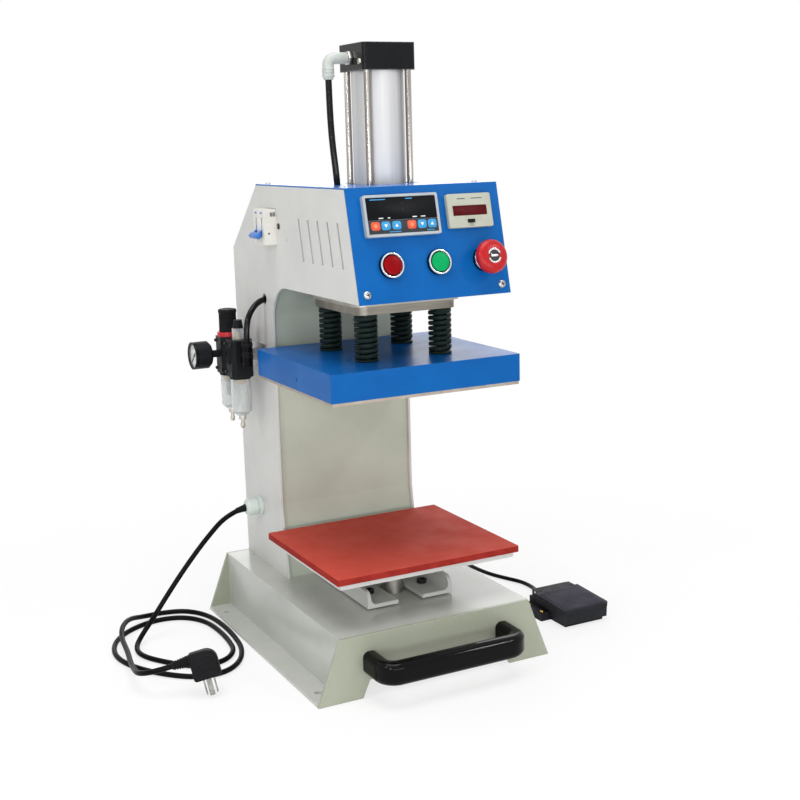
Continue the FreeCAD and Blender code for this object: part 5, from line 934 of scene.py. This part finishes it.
BOWL_COLLAR = [(14.0, 0), (14.6, 0.6), (14.6, 3.2), (13.8, 4)]
OUTLET_RIB = [(7, -1.1), (7.4, -0.6), (7.4, 0.6), (7, 1.1)]
OUTLET_SOCKET = [(7, 0), (7.6, 0.6), (7.6, 4.4), (6.6, 5.2), (5.6, 5.4), (5.6, 7.4), (4.1, 7.6)]
FILTER = [(0, 0), (6.6, 0), (6.6, 18), (8.2, 19), (8.2, 21), (0, 21)]
FILTER_CROWN = [(0, 0), (8.6, 0), (9.8, 1.5), (9.8, 5), (6, 9), (0, 9)]
OIL_TUBE = [(0, 0), (1.6, 0), (1.6, 34), (0, 34)]
OIL_CROWN = [(0, 0), (6, 0), (7, 1), (7, 6), (4, 9), (0, 9)]
DRIP_TUBE = [(2.7, 0), (4.4, 0), (4.4, 3), (3.2, 4), (3.2, 9), (2.7, 9)]

GAUGE_FACE = spot(-182, REGULATOR_Y, 382, FACING_LEFT)
DIAL_CARD = [(16.3, 0), (16.3, 0.12), (0, 0.12)]
DIAL_TICKS = 31
DIAL_START = 225
DIAL_STEP = 9
DIAL_TICK_RADIUS = 14.6
DIAL_BAND = [(10.2, 0.1), (11.0, 0.1), (11.0, 0.15), (10.2, 0.15), (10.2, 0.1)]
GAUGE_RIM = [(16.4, 2.7), (17.4, 4.05), (18.3, 3.9), (18.6, 2.6), (18.6, 0)]
GAUGE_LENS = [(0, 2.7), (16.4, 2.7), (16.4, 3.3), (8, 3.6), (0, 3.7)]


def regulator_knob():
    knob = fluted(turned(KNOB, KNOB_FLUTES * 8), KNOB_FLUTES, 0.7, 2, 23)
    knob.transform(spot(AIR_X, REGULATOR_Y, KNOB_FOOT_Z))
    piece = add_piece("fluted_knob", knob, [black_nylon], "pressure_knob")
    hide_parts("regulator_knob")


def gauge():
    """A white card with long and short ticks and a red band, a black rim and a domed lens."""
    dial = bmesh.new()
    join(dial, turned(DIAL_CARD), GAUGE_FACE, 0)
    for count in range(DIAL_TICKS):
        angle = math.radians(DIAL_START - DIAL_STEP * count)
        length, width = (3.2, 0.5) if count % 5 == 0 else (1.7, 0.3)
        place = Matrix.Rotation(angle, 4, "Z") @ Matrix.Translation((DIAL_TICK_RADIUS - length / 2, 0, 0.14))
        join(dial, rounded_block((length, width, 0.06), 0.02, 1), GAUGE_FACE @ place, 1)
    band = turned(DIAL_BAND, 40, math.radians(81))
    join(dial, band, GAUGE_FACE @ Matrix.Rotation(math.radians(-45), 4, "Z"), 2)
    join(dial, turned(GAUGE_RIM), GAUGE_FACE, 3)
    add_piece("gauge_dial", dial, [dial_white, print_black, stop_red, black_gloss], "frame")
    lens = turned(GAUGE_LENS)
    lens.transform(GAUGE_FACE)
    add_piece("gauge_lens", lens, [lens_glass], "frame")


def air_trim():
    """Bowl collars, port plugs, body screws and the outlet's ribs, socket and nut."""
    trim = bmesh.new()
    for y in (REGULATOR_Y, LUBRICATOR_Y):
        join(trim, turned(BOWL_COLLAR), spot(AIR_X, y, BOWL_TOP_Z), 0)
    join(trim, turned(PORT_PLUG, 40), spot(AIR_FRONT_X, LUBRICATOR_Y, PORT_Z, FACING_LEFT), 0)
    join(trim, turned(PORT_PLUG, 40), spot(AIR_X, AIR_BACK_Y, PORT_Z, FACING_BACK), 0)
    for middle in (REGULATOR_Y, LUBRICATOR_Y):
        for z in BODY_SCREW_HEIGHTS:
            for y in (middle - BODY_SCREW_OFFSET, middle + BODY_SCREW_OFFSET):
                join(trim, polygon_bar(6, 2.4, 1.6, 0.2), spot(AIR_FRONT_X, y, z, FACING_LEFT), 1)
    for rise in (5, 8, 11):
        join(trim, turned(OUTLET_RIB, 40), spot(AIR_X, OUTLET_Y, OUTLET_Z + rise), 0)
    join(trim, turned(OUTLET_SOCKET, 40), spot(AIR_X, OUTLET_Y, 398.6), 0)
    join(trim, polygon_bar(6, 8.6, 4, 0.5), spot(AIR_X, 83, OUTLET_Z, FACING_FRONT), 0)
    add_piece("air_trim", trim, [black_nylon, black_oxide], "frame")


def bowl_inner_parts():
    """The filter and its brass crown in one bowl, the oil tube in the other, the drip tube in the dome."""
    inner = bmesh.new()
    join(inner, turned(FILTER, 40), spot(AIR_X, REGULATOR_Y, 323), 0)
    join(inner, turned(FILTER_CROWN, 40), spot(AIR_X, REGULATOR_Y, BOWL_CORE_Z), 1)
    join(inner, turned(OIL_TUBE, 24), spot(AIR_X, LUBRICATOR_Y, 311), 0)
    join(inner, turned(OIL_CROWN, 32), spot(AIR_X, LUBRICATOR_Y, BOWL_CORE_Z), 1)
    join(inner, turned(DRIP_TUBE, 32), spot(AIR_X, LUBRICATOR_Y, 405.3), 1)
    add_piece("bowl_inner_parts", inner, [filter_white, brass], "frame")


# Mains lead's fittings

GLAND_Y = 131
GLAND_Z = 162
GLAND_FLANGE = [(7.4, 0), (12.4, 0), (13, 0.6), (13, 4.4), (12.3, 5.2), (10.2, 5.2), (10.2, 8.6)]
GLAND_NUT = [(9.8, 8), (11.5, 8), (12, 8.6), (12, 9.2), (12, 14), (12, 19), (11.3, 21), (9.6, 22.8),
             (7.2, 23.8), (5.6, 24), (5.4, 22)]
GLAND_FLUTES = 18
GLAND_SEAL = [(5.3, -3), (5.3, 0), (5.0, 2), (4.3, 9), (4.0, 13), (3.5, 14)]
GLAND_SEAL_PLACE = (-123.4, GLAND_Y, 161.8)

PLUG_SIZE = (34, 35, 25)
PLUG_CROWN = 14
PLUG_RIM = 3.4
RELIEF_START_X = -12
RELIEF_RIBS = 6
RELIEF_PITCH = 3.1
RELIEF_GROOVE = 0.9


def cable_gland():
    """A flange on the wall, a fluted nut and a dark seal that follows the cord."""
    gland = bmesh.new()
    wall = spot(-SIDE_X, GLAND_Y, GLAND_Z, FACING_LEFT)
    join(gland, turned(GLAND_FLANGE), wall, 0)
    join(gland, fluted(turned(GLAND_NUT, GLAND_FLUTES * 8), GLAND_FLUTES, 0.6, 9, 19.5), wall, 0)
    way = (Vector(MAINS_ROUTE[1]) - Vector(MAINS_ROUTE[0])).to_track_quat("Z", "Y").to_matrix().to_4x4()
    join(gland, turned(GLAND_SEAL, 40), spot(*GLAND_SEAL_PLACE, way), 1)
    piece = add_piece("gland_fitting", gland, [gland_nylon, black_nylon], "frame")
    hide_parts("cable_gland")


def plug_moulding():
    """A moulded body with one rounded crown, a ribbed grip on its face and a tapering ribbed relief."""
    plug = bmesh.new()
    body = bmesh.new()
    bmesh.ops.create_cube(body, size=1.0)
    bmesh.ops.scale(body, vec=PLUG_SIZE, verts=body.verts)
    crown = [edge for edge in body.edges if all(vert.co.x > 0 and vert.co.y > 0 for vert in edge.verts)]
    soften(body, crown, PLUG_CROWN, 8)
    rims = [edge for edge in body.edges if edge.calc_face_angle() > math.radians(40)]
    soften(body, rims, PLUG_RIM, 4)
    join(plug, body, None, 0)
    join(plug, rounded_plate(22, 20, 0.5, 4, 0.4), Matrix.Translation((1, 1, 12.3)), 0)
    for rib in range(4):
        join(plug, rounded_block((14, 1.3, 0.9), 0.35, 2), Matrix.Translation((1, -4 + 3.4 * rib, 12.8)), 0)
    profile = [(7.4, 0), (7.4, 6)]
    for rib in range(RELIEF_RIBS):
        start = 7 + RELIEF_PITCH * rib
        radius = 7.3 - 0.38 * rib
        profile += [(radius - RELIEF_GROOVE, start), (radius, start + 0.5), (radius, start + 1.9),
                    (radius - RELIEF_GROOVE, start + 2.4)]
    profile += [(4.6, 26.4), (3.4, 27)]
    join(plug, turned(profile, 40), Matrix.Translation((RELIEF_START_X, PLUG_MOUTH_Y, 0)) @ FACING_LEFT, 0)
    plug.transform(PLUG)
    piece = add_piece("plug_moulding", plug, [black_nylon], "frame")
    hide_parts("mains_plug")
    return piece


# Foot switch

MAT_SIZE = (65.5, 68, 0.9)
MAT_PLACE = (0, -46, 2.8)
MAT_RIBS = 16
MAT_RIB_SIZE = (60, 1.3, 0.5)
MAT_RIB_START = -76
MAT_RIB_PITCH = 4
PEDAL_SCREWS = ((226, -86, 10), (226, -54, 10))


def pedal_details():
    """A dark mat let into the treadle's deck, inside a narrow rim, with fine cross ribs."""
    mat = bmesh.new()
    join(mat, rounded_plate(*MAT_SIZE, 3, 0.35), TREADLE @ Matrix.Translation(MAT_PLACE), 0)
    for rib in range(MAT_RIBS):
        join(mat, rounded_block(MAT_RIB_SIZE, 0.2, 1),
             TREADLE @ Matrix.Translation((0, MAT_RIB_START + MAT_RIB_PITCH * rib, 3.75)), 0)
    add_piece("treadle_mat", mat, [charcoal_mat], "foot_treadle")
    screws = bmesh.new()
    # The dark crosses in the heads are painted shade of their recesses
    for place in PEDAL_SCREWS:
        crossed_screw(screws, spot(*place), 3.4, 1.8, 0, 1)
    add_piece("pedal_screws", screws, [brass, print_black], "frame")


# Studio, in metres and watts

WHITE = "FFFFFF"
FLOOR_WHITE = "FAFAFA"
FLOOR_SIZE = 6.0
FLOOR_DROP = 0.0005
# The floor is mostly plain white, and wholly white past the second distance, so that only the shadow shows
FLOOR_FADE = (0.3, 0.95)
FLOOR_GLOW = 0.74
ROOM_LIGHT = 0.38
LAMP_AIM = Vector((0, 0, 0.35))
# Each lamp's place, width, height and power
LAMPS = {
    "window_left": ((-2.2, -0.9, 1.6), 0.25, 0.25, 9),
    "strip_left": ((-1.7, -1.9, 0.75), 0.06, 1.2, 8),
    "softbox_top": ((-0.3, -0.4, 2.8), 2.0, 2.0, 46),
    "fill_front": ((-0.3, -2.9, 0.32), 2.6, 0.45, 20),
    "window_right": ((1.3, -1.9, 1.7), 0.15, 0.15, 6),
    "fill_back": ((1.2, 2.4, 1.4), 1.8, 1.8, 14),
}


def seen_directly(tree):
    """One where the eye, a mirror or clear plastic sees the surface, nought where it only lights others."""
    path = add(tree, "LightPath")
    shiny = add(tree, "Math", {0: path.outputs["Is Camera Ray"], 1: path.outputs["Is Glossy Ray"]},
                operation="MAXIMUM")
    return add(tree, "Math", {0: shiny.outputs[0], 1: path.outputs["Is Transmission Ray"]},
               operation="MAXIMUM").outputs[0]


def set_world():
    world = bpy.data.worlds.new("studio")
    bpy.context.scene.world = world
    tree = cleared(world)
    strength = add(tree, "MapRange", {"Value": seen_directly(tree), "To Min": ROOM_LIGHT, "To Max": 1.0})
    sky = add(tree, "Background", {"Color": srgb(WHITE), "Strength": strength.outputs[0]})
    add(tree, "OutputWorld", {"Surface": sky.outputs[0]})


def lay_floor():
    """A white sheet that keeps the object's shadow and fades into the background."""
    material = bpy.data.materials.new("studio_floor")
    tree = cleared(material)
    place = add(tree, "TexCoord").outputs["Object"]
    far = add(tree, "VectorMath", {0: place}, operation="LENGTH")
    fade = add(tree, "MapRange", {"Value": far.outputs["Value"], "From Min": FLOOR_FADE[0],
                                   "From Max": FLOOR_FADE[1], "To Min": FLOOR_GLOW},
               interpolation_type="SMOOTHSTEP")
    share = add(tree, "Math", {0: fade.outputs[0], 1: seen_directly(tree)}, operation="MULTIPLY")
    matt = add(tree, "BsdfDiffuse", {"Color": srgb(FLOOR_WHITE)})
    glow = add(tree, "Emission", {"Color": srgb(WHITE), "Strength": 1.0})
    blend = add(tree, "MixShader", {0: share.outputs[0], 1: matt.outputs[0], 2: glow.outputs[0]})
    add(tree, "OutputMaterial", {"Surface": blend.outputs[0]})
    shape = bmesh.new()
    bmesh.ops.create_grid(shape, x_segments=2, y_segments=2, size=FLOOR_SIZE)
    mesh = mesh_from(shape, "studio_floor")
    mesh.materials.append(material)
    floor = place_in_scene("studio_floor", mesh)
    floor.location.z = -FLOOR_DROP


def hang_lamps():
    for name, (place, width, height, power) in LAMPS.items():
        data = bpy.data.lights.new(name, "AREA")
        data.shape = "RECTANGLE"
        data.size = width
        data.size_y = height
        data.energy = power
        lamp = place_in_scene(name, data)
        lamp.location = place
        lamp.rotation_euler = (LAMP_AIM - Vector(place)).to_track_quat("-Z", "Y").to_euler()


def main():
    bpy.context.scene.view_settings.view_transform = "Standard"
    set_camera()
    set_world()
    lay_floor()
    hang_lamps()
    dress_nodes()
    springs()
    silicone_pad()
    small_screws()
    controller_face()
    counter_face()
    panel_buttons()
    breaker_details()
    breaker_lever()
    vent_shade_sheets()
    cap_elbow()
    regulator_knob()
    gauge()
    air_trim()
    bowl_inner_parts()
    pedal_details()
    cable_gland()
    lay_cords(plug_moulding())


main()
